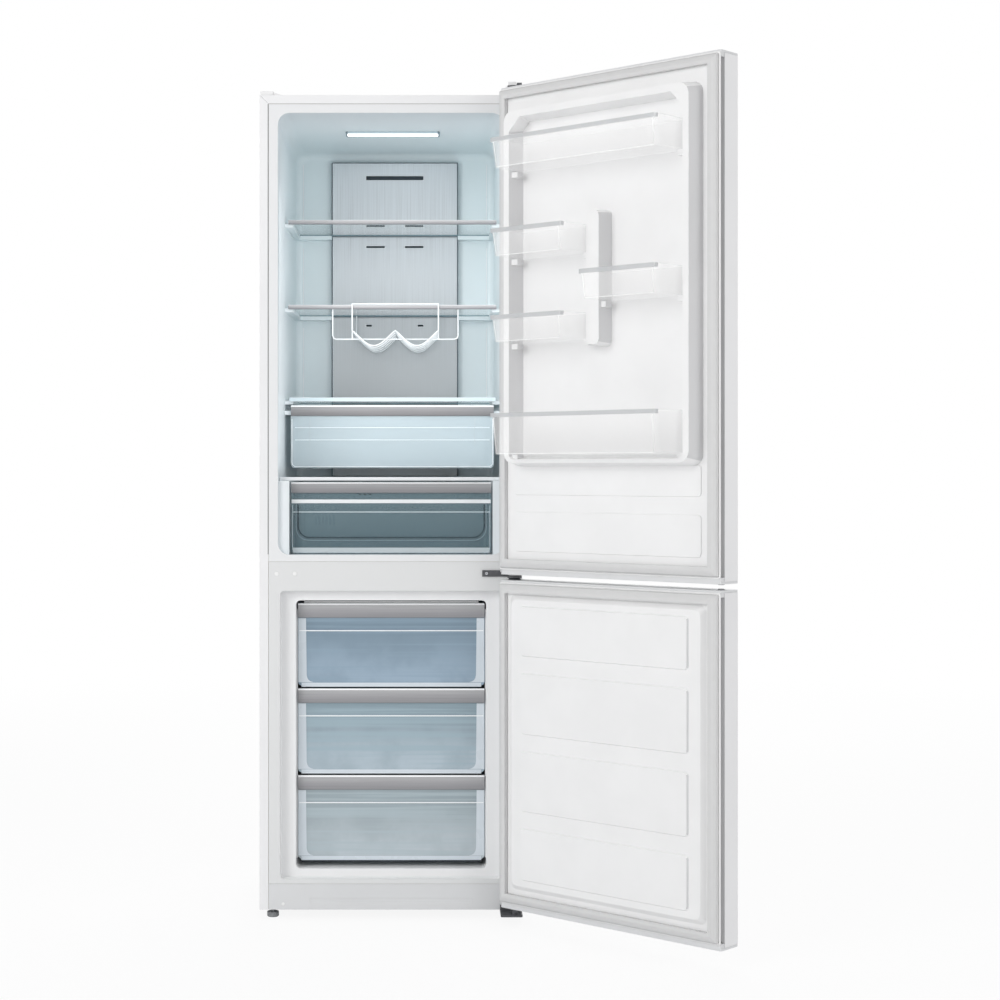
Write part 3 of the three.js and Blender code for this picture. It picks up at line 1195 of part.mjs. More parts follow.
function makeBottomHinge() {
  const top = CABINET_BOTTOM - SEAT_GAP;
  const low = top - HINGE_PLATE;
  const [x0, x1] = [FOOT_X - HINGE_ARM_HALF - BOTTOM_PLATE_MARGIN, CABINET_HALF - 1];
  const [tip, tail] = [PIVOT_Y - HINGE_ARM_HALF, FOOT_BACK + HINGE_ARM_HALF];
  const plate = cut(
    raised(roundedShape(x0, x1, tip, tail, HINGE_PLATE), low, top),
    bar(STUD_RADIUS + PIN_GAP, 'z', [FOOT_X, FOOT_BACK, low - 1], HINGE_PLATE + 2),
  );
  const shoulder = LOWER_DOOR_BOTTOM - SEAT_GAP;
  const bracket = join(
    plate,
    bar(HINGE_PIN, 'z', [PIVOT_X, PIVOT_Y, top - 1], LOWER_DOOR_BOTTOM - top + PIN_LENGTH + 1),
    bar(HINGE_PIN * 2, 'z', [PIVOT_X, PIVOT_Y, top - 1], shoulder - top + 1),
    box(x0, x1, -HINGE_PLATE, -1, low, top + BOTTOM_UPSTAND),
  );
  place('bottom_hinge_bracket', bracket, darkSteel);
}

// ---------------------------------------------------------------- doors

// Door pieces are drawn with the door shut, then hung on a group that turns about the hinge.
function makeDoorGroup() {
  const group = new THREE.Group();
  group.position.set(PIVOT_X, PIVOT_Y, 0);
  group.rotation.z = THREE.MathUtils.degToRad(DOOR_OPEN_ANGLE);
  fridge.add(group);
  return group;
}

function hang(name, geometry, material, group) {
  return place(name, geometry.clone().translate(-PIVOT_X, -PIVOT_Y, 0), material, group);
}

const GROOVE_X = -CABINET_HALF + GRIP_DEPTH;
const LINER_BACK = INNER_PLANE - DOOR_LINER; // side of the liner that faces the foam
const GROOVE_OUT = LINER_BACK - GRIP_WIDTH;

function makeDoorSkin(name, bottom, top, group) {
  const behind = INNER_PLANE + DOOR_THICKNESS;
  const outline = (inset) => {
    const half = CABINET_HALF - inset;
    const past = inset ? 1 : 0;
    return raised(
      roundedShape(-half, half, OUTER_PLANE + inset, behind, DOOR_CORNER - inset),
      bottom + CAP_SHOW - past, top - CAP_SHOW + past,
    );
  };
  const skin = cut(
    outline(0), outline(SHEET),
    box(-CABINET_WIDTH, CABINET_WIDTH, LINER_BACK - SEAT_GAP, behind + 1, bottom, top),
    box(-CABINET_WIDTH, 0, GROOVE_OUT, behind + 1, bottom, top),
  );
  hang(`${name}_skin`, skin, whiteSteel, group);
}

function makeDoorCaps(name, bottom, top, group) {
  const inset = SHEET + SEAT_GAP;
  const rear = LINER_BACK - SEAT_GAP;
  const plan = (edge) => roundedShape(
    -CABINET_HALF + edge, CABINET_HALF - edge, OUTER_PLANE + edge, rear, DOOR_CORNER - edge,
  );
  const bore = (z) => bar(HINGE_PIN + PIN_GAP, 'z', [PIVOT_X, PIVOT_Y, z], CAP_SHOW + CAP_PLUG + 2);
  const topCap = join(
    raised(plan(CAP_INSET), top - CAP_SHOW + SEAT_GAP, top),
    raised(plan(inset), top - CAP_SHOW - CAP_PLUG, top - 1),
  );
  const bottomCap = join(
    raised(plan(CAP_INSET), bottom, bottom + CAP_SHOW - SEAT_GAP),
    raised(plan(inset), bottom + 1, bottom + CAP_SHOW + CAP_PLUG),
  );
  hang(`${name}_top_cap`, cut(topCap, bore(top - CAP_SHOW - CAP_PLUG - 1)), greyPlastic, group);
  hang(`${name}_bottom_cap`, cut(bottomCap, bore(bottom - 1)), greyPlastic, group);
}

function makeDoorFoam(name, bottom, top, group, core) {
  const half = CABINET_HALF - SHEET - SEAT_GAP;
  const end = CAP_SHOW + CAP_PLUG + SEAT_GAP;
  const block = box(
    -half, half, OUTER_PLANE + SHEET + SEAT_GAP, LINER_BACK - SEAT_GAP, bottom + end, top - end,
  );
  const edges = mirrored(
    half - DOOR_CORNER, half + 1, OUTER_PLANE, OUTER_PLANE + SHEET + DOOR_CORNER, bottom, top,
  );
  const groove = box(
    -CABINET_WIDTH, GROOVE_X + DOOR_LINER + SEAT_GAP, GROOVE_OUT - DOOR_LINER - SEAT_GAP, 0, bottom, top,
  );
  hang(`${name}_foam`, join(cut(block, groove, ...edges), core(DOOR_LINER + SEAT_GAP)), foam, group);
}

// The flat plastic sheet on the inside of a door, with the finger groove along its free edge.
function doorSheet(bottom, top) {
  const half = CABINET_HALF - DOOR_SHEET_INSET;
  const outline = roundedShape(-half, half, bottom + LINER_INSET_BOTTOM, top - LINER_INSET_TOP, DOOR_CORNER);
  const sheet = runBack(outline, LINER_BACK, INNER_PLANE);
  const end = CAP_SHOW + CAP_PLUG + SEAT_GAP;
  const reach = CABINET_HALF - SHEET - SEAT_GAP;
  const inner = GROOVE_X + DOOR_LINER;
  return join(
    sheet,
    box(GROOVE_X, inner, GROOVE_OUT - DOOR_LINER, LINER_BACK + 1, bottom + end, top - end),
    box(-reach, inner, GROOVE_OUT - DOOR_LINER, GROOVE_OUT, bottom + end, top - end),
  );
}

// A block standing on the inside of the door, smaller at its crest than at its foot.
function standing(base, height, draft, radius, from = 0) {
  const at = (level) => ([x, z]) => [x, INNER_PLANE + level, z];
  const crest = { u0: base.u0 + draft, u1: base.u1 - draft, v0: base.v0 + draft, v1: base.v1 - draft };
  return loft([
    ringPoints(base, radius).map(at(from - 0.1)),
    ringPoints(crest, radius).map(at(height)),
  ]);
}

function grown({ u0, u1, v0, v1 }, by) {
  return { u0: u0 - by, u1: u1 + by, v0: v0 - by, v1: v1 + by };
}

const rimHalf = CABINET_HALF - RIM_OUTER_INSET;
const columnFoot = {
  u0: -COLUMN_HALF - COLUMN_DRAFT, u1: COLUMN_HALF + COLUMN_DRAFT, v0: COLUMN_BOTTOM, v1: COLUMN_TOP,
};
const rimOutline = { u0: -rimHalf, u1: rimHalf, v0: RIM_BOTTOM, v1: RIM_TOP };
const rimRoom = {
  u0: -rimHalf + RIM_WALL, u1: rimHalf - RIM_WALL, v0: RIM_ROOM_BOTTOM, v1: RIM_TOP - RIM_WALL,
};
const lowerField = {
  u0: -LOWER_PANEL_HALF, u1: LOWER_PANEL_HALF, v0: LOWER_PANEL_BOTTOM, v1: LOWER_PANEL_TOP,
};

// The room inside the rim, wider at its mouth.
function rimHollow(grow) {
  return standing(grown(rimRoom, grow), RIM_HEIGHT + 1, -RIM_DRAFT, RIM_ROOM_CORNER, -2 * DOOR_LINER);
}

// The rim and column that the bins hang on; with `inset` it is the foam-filled hollow inside them.
function binCarrier(inset = 0) {
  const from = inset ? -DOOR_LINER - 1 : 0;
  const height = RIM_HEIGHT - inset;
  const block = standing(grown(rimOutline, -inset), height, RIM_DRAFT, RIM_CORNER, from);
  const column = standing(grown(columnFoot, -inset), height, COLUMN_DRAFT, COLUMN_CORNER, from);
  return join(cut(block, rimHollow(inset)), column);
}

// The raised field of the lower door; with `inset` it is the foam-filled hollow behind it.
function doorField(inset = 0) {
  const from = inset ? -DOOR_LINER - 1 : 0;
  return standing(
    grown(lowerField, -inset), LOWER_PANEL_RAISE - inset, LOWER_PANEL_RAISE, LOWER_PANEL_CORNER, from,
  );
}

function makeUpperDoorLiner(group) {
  const makePanel = (v0, v1) => standing(
    { u0: -PANEL_HALF, u1: PANEL_HALF, v0, v1 }, PANEL_RAISE, PANEL_DRAFT, PANEL_CORNER,
  );
  const panels = [
    makePanel(UPPER_DOOR_PANEL_LOW, UPPER_DOOR_PANEL_MID), makePanel(UPPER_DOOR_PANEL_STEP, RIM_BOTTOM + 2),
  ];
  const [x, z] = [rimRoom.u1 + RIM_DRAFT + DOOR_LINER, rimRoom.v1 + RIM_DRAFT + DOOR_LINER];
  const chamfers = [-1, 1].map((side) => {
    const corner = [[side * (x - RIM_CHAMFER), z], [side * x, z], [side * x, z - RIM_CHAMFER]];
    const outline = polygon(side < 0 ? corner.reverse() : corner);
    return runBack(outline, INNER_PLANE - DOOR_LINER / 2, INNER_PLANE + RIM_HEIGHT);
  });
  // Each bin stands on a peg at either end, moulded on the rim or on the column.
  const pegs = BINS.flatMap(({ bottom, span }) => {
    const [x0, x1] = binSpan(span);
    const top = bottom - SEAT_GAP;
    const makePeg = (a, b) => box(
      a, b, INNER_PLANE + PEG_NEAR, INNER_PLANE + PEG_FAR, top - PEG_HEIGHT, top,
    );
    const root = SLIDE_GAP + COLUMN_DRAFT;
    const left = span === 'hinge' ? x0 - root : -rimHalf;
    const right = span === 'free' ? x1 + root : rimHalf;
    return [makePeg(left, x0 + PEG_REACH), makePeg(x1 - PEG_REACH, right)];
  });
  const fitted = clip(join(...pegs), rimHollow(DOOR_LINER / 2));
  const shell = join(doorSheet(UPPER_DOOR_BOTTOM, UPPER_DOOR_TOP), binCarrier(), ...panels, ...chamfers);
  hang('upper_door_liner', join(cut(shell, binCarrier(DOOR_LINER)), fitted), whitePlastic, group);
}

function makeLowerDoorLiner(group) {
  let low = LOWER_PADS_START;
  const pads = LOWER_PAD_HEIGHTS.map((height) => {
    const pad = { u0: -LOWER_PAD_HALF, u1: LOWER_PAD_HALF, v0: low, v1: low + height };
    low += height + LOWER_PAD_SPACING;
    return standing(pad, LOWER_PAD_RAISE, LOWER_PAD_DRAFT, PANEL_CORNER, LOWER_PANEL_RAISE);
  });
  const shell = join(doorSheet(LOWER_DOOR_BOTTOM, LOWER_DOOR_TOP), doorField(), ...pads);
  hang('lower_door_liner', cut(shell, doorField(DOOR_LINER)), whitePlastic, group);
}

function makeGasket(name, bottom, top, group) {
  const half = CABINET_HALF - DOOR_SHEET_INSET;
  const [low, high] = [bottom + LINER_INSET_BOTTOM, top - LINER_INSET_TOP];
  const ring = (inset) => ({ u0: -half + inset, u1: half - inset, v0: low + inset, v1: high - inset });
  const levels = [
    [SEAT_GAP, GASKET_INSET], [GASKET_SHOULDER, GASKET_INSET],
    [DOOR_GAP - SEAT_GAP, GASKET_INSET + GASKET_LEAN],
  ];
  const body = loft(levels.map(([level, inset]) => (
    ringPoints(ring(inset), DOOR_CORNER).map(([x, z]) => [x, INNER_PLANE + level, z])
  )));
  const middle = ring(GASKET_INSET + GASKET_WIDTH);
  const hole = box(middle.u0, middle.u1, INNER_PLANE - 1, 1, middle.v0, middle.v1);
  hang(`${name}_gasket`, cut(body, hole), rubber, group);
}

function binSpan(span) {
  const half = BIN_LENGTH / 2;
  const inner = COLUMN_HALF + COLUMN_DRAFT + SLIDE_GAP;
  if (span === 'hinge') return [inner, half];
  if (span === 'free') return [-half, -inner];
  return [-half, half];
}

function makeBin({ name, bottom, height, span }, group) {
  const [x0, x1] = binSpan(span);
  const top = bottom + height;
  const plan = (front, taper) => ({
    u0: x0 + taper, u1: x1 - taper, v0: INNER_PLANE + BIN_BACK, v1: INNER_PLANE + front,
  });
  const basket = tub(
    plan(BIN_REACH - BIN_SLANT, BIN_TAPER), plan(BIN_REACH, 0), bottom, top, BIN_WALL, BIN_CORNER,
  );
  const low = top - BIN_RIM_HEIGHT;
  const inset = BIN_RIM_INSET + BIN_WALL;
  const front = INNER_PLANE + BIN_REACH;
  const outline = roundedShape(
    x0 + BIN_RIM_INSET, x1 - BIN_RIM_INSET, front - BIN_RIM_RETURN, front + BIN_RIM_SHEET, BIN_CORNER / 2,
  );
  const band = cut(
    raised(outline, low, top), box(x0 + inset, x1 - inset, INNER_PLANE, front - BIN_WALL, low - 1, top + 1),
  );
  hang(name, join(basket, band), frostedPlastic, group);
}

function makeDoors() {
  const upper = makeDoorGroup();
  const lower = makeDoorGroup();
  const doors = [
    ['upper_door', UPPER_DOOR_BOTTOM, UPPER_DOOR_TOP, upper, binCarrier],
    ['lower_door', LOWER_DOOR_BOTTOM, LOWER_DOOR_TOP, lower, doorField],
  ];
  for (const door of doors) {
    makeDoorSkin(...door);
    makeDoorFoam(...door);
    makeDoorCaps(...door);
    makeGasket(...door);
  }
  makeUpperDoorLiner(upper);
  makeLowerDoorLiner(lower);
  BINS.forEach((bin) => makeBin(bin, upper));
}

// ---------------------------------------------------------------- assembly

makeCabinetShell();
makeBackPanel();
makeInsulation();
makeFridgeLiner();
makeFreezerLiner();
makeBaseFrontPanel();
makeBasePlate();
makeCompressor();
makeDrainPan();
makeMachineCover();
makeFeet();
makeRollers();
makeFridgeDuctCover();
makeLamp();
makeFreezerDuctCover();
makeFan();
makeEvaporator();
makeShelves();
makeWineRack();
makeCrispers();
makeFreezerDrawers();
makeTopHinge();
makeSpareCap();
makeMiddleHinge();
makeBottomHinge();
makeDoors();

// The origin is at the middle of the underside of the whole, doors as they stand.
const bounds = new THREE.Box3().setFromObject(fridge);
const centre = bounds.getCenter(new THREE.Vector3());
fridge.position.set(-centre.x, -centre.y, -bounds.min.z);
fridge.updateMatrixWorld(true);

export default fridge;
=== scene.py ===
"""Looks of a bottom freezer refrigerator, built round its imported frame.

Shapes are drawn in millimetres of the cabinet: X 0 is the middle of its width, Y 0 its front
edge and Z 0 the floor. Door pieces are drawn with their door shut. A matrix then takes each
mesh to metres of the frame, where both doors stand open.
"""

from __future__ import annotations

import json
import logging
import math
from collections.abc import Callable, Iterable, Sequence
from dataclasses import dataclass, replace
from enum import Enum
from typing import Any

import bmesh
import bpy
from mathutils import Matrix, Vector

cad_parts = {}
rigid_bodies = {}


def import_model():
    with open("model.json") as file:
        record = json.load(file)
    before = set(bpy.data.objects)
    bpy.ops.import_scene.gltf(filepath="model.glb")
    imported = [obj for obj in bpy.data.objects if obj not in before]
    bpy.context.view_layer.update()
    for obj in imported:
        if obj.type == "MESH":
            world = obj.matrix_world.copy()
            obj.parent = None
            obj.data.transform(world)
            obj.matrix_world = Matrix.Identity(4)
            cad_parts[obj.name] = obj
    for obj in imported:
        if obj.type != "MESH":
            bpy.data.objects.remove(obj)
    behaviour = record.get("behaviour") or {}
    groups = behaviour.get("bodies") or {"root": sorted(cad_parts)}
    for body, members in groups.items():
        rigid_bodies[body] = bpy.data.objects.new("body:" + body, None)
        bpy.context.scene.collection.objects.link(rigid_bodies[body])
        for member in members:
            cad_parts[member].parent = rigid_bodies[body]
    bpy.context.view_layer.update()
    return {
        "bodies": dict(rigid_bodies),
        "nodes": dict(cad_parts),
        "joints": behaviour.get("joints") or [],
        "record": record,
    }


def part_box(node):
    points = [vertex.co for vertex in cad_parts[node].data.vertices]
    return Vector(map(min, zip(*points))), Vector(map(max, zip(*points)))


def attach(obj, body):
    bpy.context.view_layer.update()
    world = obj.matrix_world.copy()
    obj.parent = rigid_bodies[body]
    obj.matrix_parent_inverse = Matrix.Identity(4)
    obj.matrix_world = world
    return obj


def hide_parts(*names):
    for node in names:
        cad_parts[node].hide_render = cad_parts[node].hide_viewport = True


LOG = logging.getLogger("fridge")
MM = 0.001
WELD_REACH = 1e-5  # metres, joins the loose triangles of a copied solid
FLAT_ANGLE = math.radians(1.0)
BEVEL_ANGLE = math.radians(35.0)
CLEARANCE = 0.3  # between a piece and what it lines or stands on

Point = tuple[float, float, float]
Pair = tuple[float, float]
Colour = tuple[float, float, float, float]
Rule = Callable[[Vector, Vector], bool]

PURE_WHITE: Colour = (1.0, 1.0, 1.0, 1.0)
PURE_BLACK: Colour = (0.0, 0.0, 0.0, 1.0)


def tint(red: int, green: int, blue: int) -> Colour:
    """Turns a screen colour into the linear values that a shader takes.

    Args:
        red: Red, 0 to 255.
        green: Green, 0 to 255.
        blue: Blue, 0 to 255.

    Returns:
        The linear colour with full alpha.
    """
    def straight(level: int) -> float:
        """One channel without the screen's curve."""
        share = level / 255
        return share / 12.92 if share <= 0.04045 else ((share + 0.055) / 1.055) ** 2.4

    return straight(red), straight(green), straight(blue), 1.0


def shaded(colour: Colour, share: float, lift: float = 0.0) -> Colour:
    """Makes a colour darker or lighter.

    Args:
        colour: A linear colour.
        share: What it is multiplied by.
        lift: What is added then.

    Returns:
        The new colour, at most white.
    """
    return tuple(min(1.0, part * share + lift) for part in colour[:3]) + (1.0,)


# ---------------------------------------------------------------- node graphs


def math_node(operation: str, flipped: bool = False) -> Callable[..., "Value"]:
    """Makes a method that adds one Math node.

    Args:
        operation: The node's operation.
        flipped: Whether the other number comes first.

    Returns:
        The method, which takes a number or Value and returns the node's result.
    """
    def method(self: "Value", other: Any = 0.0) -> "Value":
        """Adds the Math node."""
        first, second = (other, self) if flipped else (self, other)
        made = self.graph.node("ShaderNodeMath", {"operation": operation}, {0: first, 1: second})
        return Value(self.graph, made.outputs[0])

    return method


class Value:
    """A number socket that adds Math nodes where it is used in an expression."""

    def __init__(self, graph: "Graph", socket: bpy.types.NodeSocket) -> None:
        """Keeps the socket and the graph that it belongs to."""
        self.graph = graph
        self.socket = socket

    __add__, __radd__ = math_node("ADD"), math_node("ADD", True)
    __sub__, __rsub__ = math_node("SUBTRACT"), math_node("SUBTRACT", True)
    __mul__, __rmul__ = math_node("MULTIPLY"), math_node("MULTIPLY", True)
    __pow__ = math_node("POWER")
    __abs__ = math_node("ABSOLUTE")
    sine = math_node("SINE")  # of radians


class Graph:
    """A node tree and the one method that makes its nodes."""

    def __init__(self, tree: bpy.types.NodeTree) -> None:
        """Keeps the tree."""
        self.tree = tree

    def node(
        self, kind: str, settings: dict[str, Any] | None = None,
        inputs: dict[Any, Any] | None = None,
    ) -> bpy.types.Node:
        """Makes one node.

        Args:
            kind: The node's type.
            settings: Its properties, set before its inputs.
            inputs: Numbers, colours, sockets or Values by the input's name or index.

        Returns:
            The node.
        """
        made = self.tree.nodes.new(kind)
        for key, setting in (settings or {}).items():
            setattr(made, key, setting)
        for key, given in (inputs or {}).items():
            source = given.socket if isinstance(given, Value) else given
            if isinstance(source, bpy.types.NodeSocket):
                self.tree.links.new(source, made.inputs[key])
            else:
                made.inputs[key].default_value = source
        return made


class Shader(Graph):
    """The node tree of one material."""

    def __init__(self, name: str) -> None:
        """Makes an empty material."""
        self.material = bpy.data.materials.new(name)
        self.material.use_nodes = True
        super().__init__(self.material.node_tree)
        self.tree.nodes.clear()
        self.object = self.node("ShaderNodeTexCoord").outputs["Object"]

    def axes(self) -> tuple[Value, Value, Value]:
        """The place on the object along X, Y and Z, in metres."""
        split = self.node("ShaderNodeSeparateXYZ", inputs={0: self.object})
        return tuple(Value(self, socket) for socket in split.outputs)

    def noise(self, scale: float, detail: float = 2.0, stretch: Point = (1.0, 1.0, 1.0)) -> Value:
        """Soft noise.

        Args:
            scale: Cells to the metre.
            detail: Octaves.
            stretch: How much denser the cells are along each axis.

        Returns:
            The noise, about 0.5 at its middle.
        """
        place = self.node(
            "ShaderNodeVectorMath", {"operation": "MULTIPLY"}, {0: self.object, 1: stretch},
        ).outputs[0]
        made = self.node(
            "ShaderNodeTexNoise", inputs={"Vector": place, "Scale": scale, "Detail": detail},
        )
        return Value(self, made.outputs[0])

    def cells(self, scale: float) -> Value:
        """Cell colours of a crystal pattern, as one number from 0 to 1."""
        made = self.node(
            "ShaderNodeTexVoronoi", inputs={"Vector": self.object, "Scale": scale},
        )
        split = self.node("ShaderNodeSeparateColor", inputs={0: made.outputs["Color"]})
        return Value(self, split.outputs[0])

    def step(self, value: Value, low: float, high: float) -> Value:
        """A smooth step from 0 at low to 1 at high."""
        made = self.node(
            "ShaderNodeMapRange", {"interpolation_type": "SMOOTHSTEP"},
            {0: value, 1: low, 2: high, 3: 0.0, 4: 1.0},
        )
        return Value(self, made.outputs[0])

    def blend(self, share: Value, first: Any, second: Any) -> bpy.types.NodeSocket:
        """Mixes two colours.

        Args:
            share: 0 for the first colour, 1 for the second.
            first: A colour or a colour socket.
            second: A colour or a colour socket.

        Returns:
            The mixed colour.
        """
        made = self.node("ShaderNodeMix", {"data_type": "RGBA"}, {0: share, 6: first, 7: second})
        return made.outputs[2]

    def bump(self, height: Value, depth: float, strength: float = 1.0) -> bpy.types.NodeSocket:
        """A bumped normal; depth is the height of the relief in metres."""
        made = self.node(
            "ShaderNodeBump", inputs={"Height": height, "Distance": depth, "Strength": strength},
        )
        return made.outputs[0]

    def principled(self, **inputs: Any) -> bpy.types.NodeSocket:
        """A Principled shader; underscores in the names stand for spaces."""
        named = {key.replace("_", " "): given for key, given in inputs.items()}
        return self.node("ShaderNodeBsdfPrincipled", inputs=named).outputs[0]

    def show(self, surface: bpy.types.NodeSocket) -> bpy.types.Material:
        """Links the surface to the output and returns the material."""
        self.node("ShaderNodeOutputMaterial", inputs={"Surface": surface})
        return self.material


# ---------------------------------------------------------------- finishes


class Grain(Enum):
    """Which way a brushed sheet was brushed."""

    ACROSS = (4.0, 220.0, 900.0)
    UPRIGHT = (900.0, 220.0, 4.0)


@dataclass(frozen=True)
class Finish:
    """What a surface looks like."""

    name: str
    slot: str
    colour: Colour
    roughness: float = 0.45

    def build(self) -> bpy.types.Material:
        """Makes the material."""
        shader = Shader(self.name)
        return shader.show(shader.principled(**self.paint(shader)))

    def paint(self, shader: Shader) -> dict[str, Any]:
        """Says what the material's Principled shader takes.

        Args:
            shader: The material's tree.

        Returns:
            Its inputs by name; underscores stand for spaces.
        """
        raise NotImplementedError


Zones = Sequence[tuple[Rule, Finish]]


@dataclass(frozen=True)
class Plastic(Finish):
    """Moulded plastic with a fine spark-eroded grain and slightly uneven gloss."""

    shade: float = 0.02  # how much the colour varies
    relief: float = 0.00003
    grain: float = 1400.0

    def paint(self, shader: Shader) -> dict[str, Any]:
        """The inputs of its Principled shader."""
        cloud = shader.noise(9.0, 3.0)
        fine = shader.noise(self.grain, 2.0)
        dark = shaded(self.colour, 1 - self.shade * 3)
        colour = shader.blend(shader.step(cloud, 0.3, 0.75) * 0.5 + fine * 0.1, self.colour, dark)
        return dict(
            Base_Color=colour,
            Roughness=self.roughness - 0.05 + cloud * 0.1,
            Normal=shader.bump(fine, self.relief, 0.5),
        )


@dataclass(frozen=True)
class PaintedSteel(Finish):
    """Powder-coated sheet steel with a faint orange peel."""

    def paint(self, shader: Shader) -> dict[str, Any]:
        """The inputs of its Principled shader."""
        peel = shader.noise(260.0, 2.0)
        cloud = shader.noise(3.0, 2.0)
        dull = shaded(self.colour, 0.965)
        return dict(
            Base_Color=shader.blend(shader.step(cloud, 0.35, 0.7), self.colour, dull),
            Roughness=self.roughness + (peel - 0.5) * 0.08,
            Coat_Weight=0.25 + cloud * 0.1,
            Coat_Roughness=0.12,
            Normal=shader.bump(peel, 0.00004, 0.4),
        )


@dataclass(frozen=True)
class BrushedMetal(Finish):
    """Brushed sheet or trim, darker towards its lower end where that is asked for, which is painted
    shade.
    """

    grain: Grain = Grain.ACROSS
    metallic: float = 0.7
    contrast: float = 0.14  # between the hairs
    low_colour: Colour | None = None
    low: float = 0.0
    high: float = 1.0

    def paint(self, shader: Shader) -> dict[str, Any]:
        """The inputs of its Principled shader."""
        hair = shader.noise(1.0, 4.0, self.grain.value)
        _, _, height = shader.axes()
        colour: Any = self.colour
        if self.low_colour is not None:
            colour = shader.blend(shader.step(height, self.low, self.high), self.low_colour, colour)
        dark = shaded(self.low_colour or self.colour, 1 - self.contrast)
        return dict(
            Base_Color=shader.blend(shader.step(hair, 0.42, 0.75) * 0.5, colour, dark),
            Metallic=self.metallic,
            Roughness=self.roughness + hair * 0.18,
            Normal=shader.bump(hair, 0.00003, 0.6),
        )


@dataclass(frozen=True)
class Zinc(Finish):
    """Galvanised sheet with its spangle of crystals."""

    def paint(self, shader: Shader) -> dict[str, Any]:
        """The inputs of its Principled shader."""
        spangle = shader.cells(140.0)
        fine = shader.noise(900.0, 2.0)
        dark = shaded(self.colour, 0.78)
        return dict(
            Base_Color=shader.blend(spangle * 0.7 + fine * 0.2, self.colour, dark),
            Metallic=0.8,
            Roughness=self.roughness + spangle * 0.22,
            Normal=shader.bump(fine, 0.00002, 0.5),
        )


@dataclass(frozen=True)
class Steel(Finish):
    """Pressed hinge or compressor steel, rubbed brighter in places."""

    metallic: float = 0.6

    def paint(self, shader: Shader) -> dict[str, Any]:
        """The inputs of its Principled shader."""
        worn = shader.step(shader.noise(60.0, 4.0), 0.5, 0.78)
        fine = shader.noise(700.0, 3.0)
        bright = shaded(self.colour, 1.6, 0.01)
        return dict(
            Base_Color=shader.blend(worn * 0.6, self.colour, bright),
            Metallic=self.metallic,
            Roughness=self.roughness - worn * 0.1,
            Normal=shader.bump(fine, 0.00004, 0.5),
        )


@dataclass(frozen=True)
class Rubber(Finish):
    """Soft vinyl or rubber, matt with a dusty bloom."""

    def paint(self, shader: Shader) -> dict[str, Any]:
        """The inputs of its Principled shader."""
        bloom = shader.noise(45.0, 3.0)
        fine = shader.noise(1800.0, 2.0)
        dark = shaded(self.colour, 0.95)
        return dict(
            Base_Color=shader.blend(bloom, self.colour, dark),
            Roughness=self.roughness + bloom * 0.1,
            Normal=shader.bump(fine, 0.00005, 0.6),
        )


@dataclass(frozen=True)
class Foam(Finish):
    """Rigid foam with open cells."""

    def paint(self, shader: Shader) -> dict[str, Any]:
        """The inputs of its Principled shader."""
        cells = shader.cells(700.0)
        cloud = shader.noise(20.0, 3.0)
        dark = shaded(self.colour, 0.8)
        return dict(
            Base_Color=shader.blend(cells * 0.5 + cloud * 0.3, self.colour, dark),
            Roughness=self.roughness,
            Normal=shader.bump(cells, 0.0003, 0.8),
        )


@dataclass(frozen=True)
class Liner(Finish):
    """Compartment liner: a white front frame and an inside that is bluer and darker towards the
    back and the top, which is painted light and shade.
    """

    inside: Colour = (0.5, 0.6, 0.7, 1.0)
    deep: Colour = (0.4, 0.5, 0.6, 1.0)
    front: float = -0.0305  # where the frame ends
    mouth: float = -0.02
    back: float = 0.36
    low: float = 0.8
    high: float = 1.8

    def paint(self, shader: Shader) -> dict[str, Any]:
        """The inputs of its Principled shader."""
        _, depth, height = shader.axes()
        fine = shader.noise(1200.0, 2.0)
        cloud = shader.noise(4.0, 2.0)
        far = shader.step(depth, self.mouth, self.back)
        lift = shader.step(height, self.low, self.high)
        # painted shade: the inside turns to the deep colour further back and higher up
        inside = shader.blend(far * (0.45 + 0.35 * lift) + cloud * 0.15, self.inside, self.deep)
        within = shader.step(depth, self.front, self.front + 0.0012)
        return dict(
            Base_Color=shader.blend(within, self.colour, inside),
            Roughness=self.roughness - 0.04 + cloud * 0.08,
            Normal=shader.bump(fine, 0.00003, 0.4),
        )


@dataclass(frozen=True)
class Clear(Finish):
    """See-through plastic or glass with a tint of its own."""

    cover: float = 0.3  # alpha
    ior: float = 1.49
    haze: float = 0.0  # how much the cover varies
    cool: Colour | None = None  # colour of the lower edge
    low: float = 0.0
    high: float = 1.0
    streak: float = 0.0  # share of the pale bands that lie across it
    # painted light: glow is an emission that makes frosted plastic look whiter, though it is no
    # lamp
    glow: float = 0.0  # light that a frosted wall scatters from the room

    def build(self) -> bpy.types.Material:
        """Makes the material, which shows what is behind it."""
        made = super().build()
        made.surface_render_method = "BLENDED"
        return made

    def paint(self, shader: Shader) -> dict[str, Any]:
        """The inputs of its Principled shader."""
        cloud = shader.noise(14.0, 3.0)
        _, _, height = shader.axes()
        colour: Any = self.colour
        if self.cool is not None:
            colour = shader.blend(shader.step(height, self.low, self.high), self.cool, colour)
        tinted = shaded(self.colour, 0.93)
        colour = shader.blend(shader.step(cloud, 0.35, 0.7) * 0.4, colour, tinted)
        if self.streak:
            layers = shader.step(shader.noise(1.6, 3.0, (1.0, 1.0, 60.0)), 0.42, 0.66)
            pale = shaded(self.colour, 1.3, 0.02)
            colour = shader.blend(layers * self.streak, colour, pale)
        return dict(
            Base_Color=colour,
            Roughness=self.roughness + cloud * 0.06,
            Alpha=self.cover + (cloud - 0.5) * self.haze if self.haze else self.cover,
            IOR=self.ior,
            Coat_Weight=0.3 + cloud * 0.2,
            Coat_Roughness=0.05,
            Emission_Color=PURE_WHITE,
            Emission_Strength=self.glow,
        )


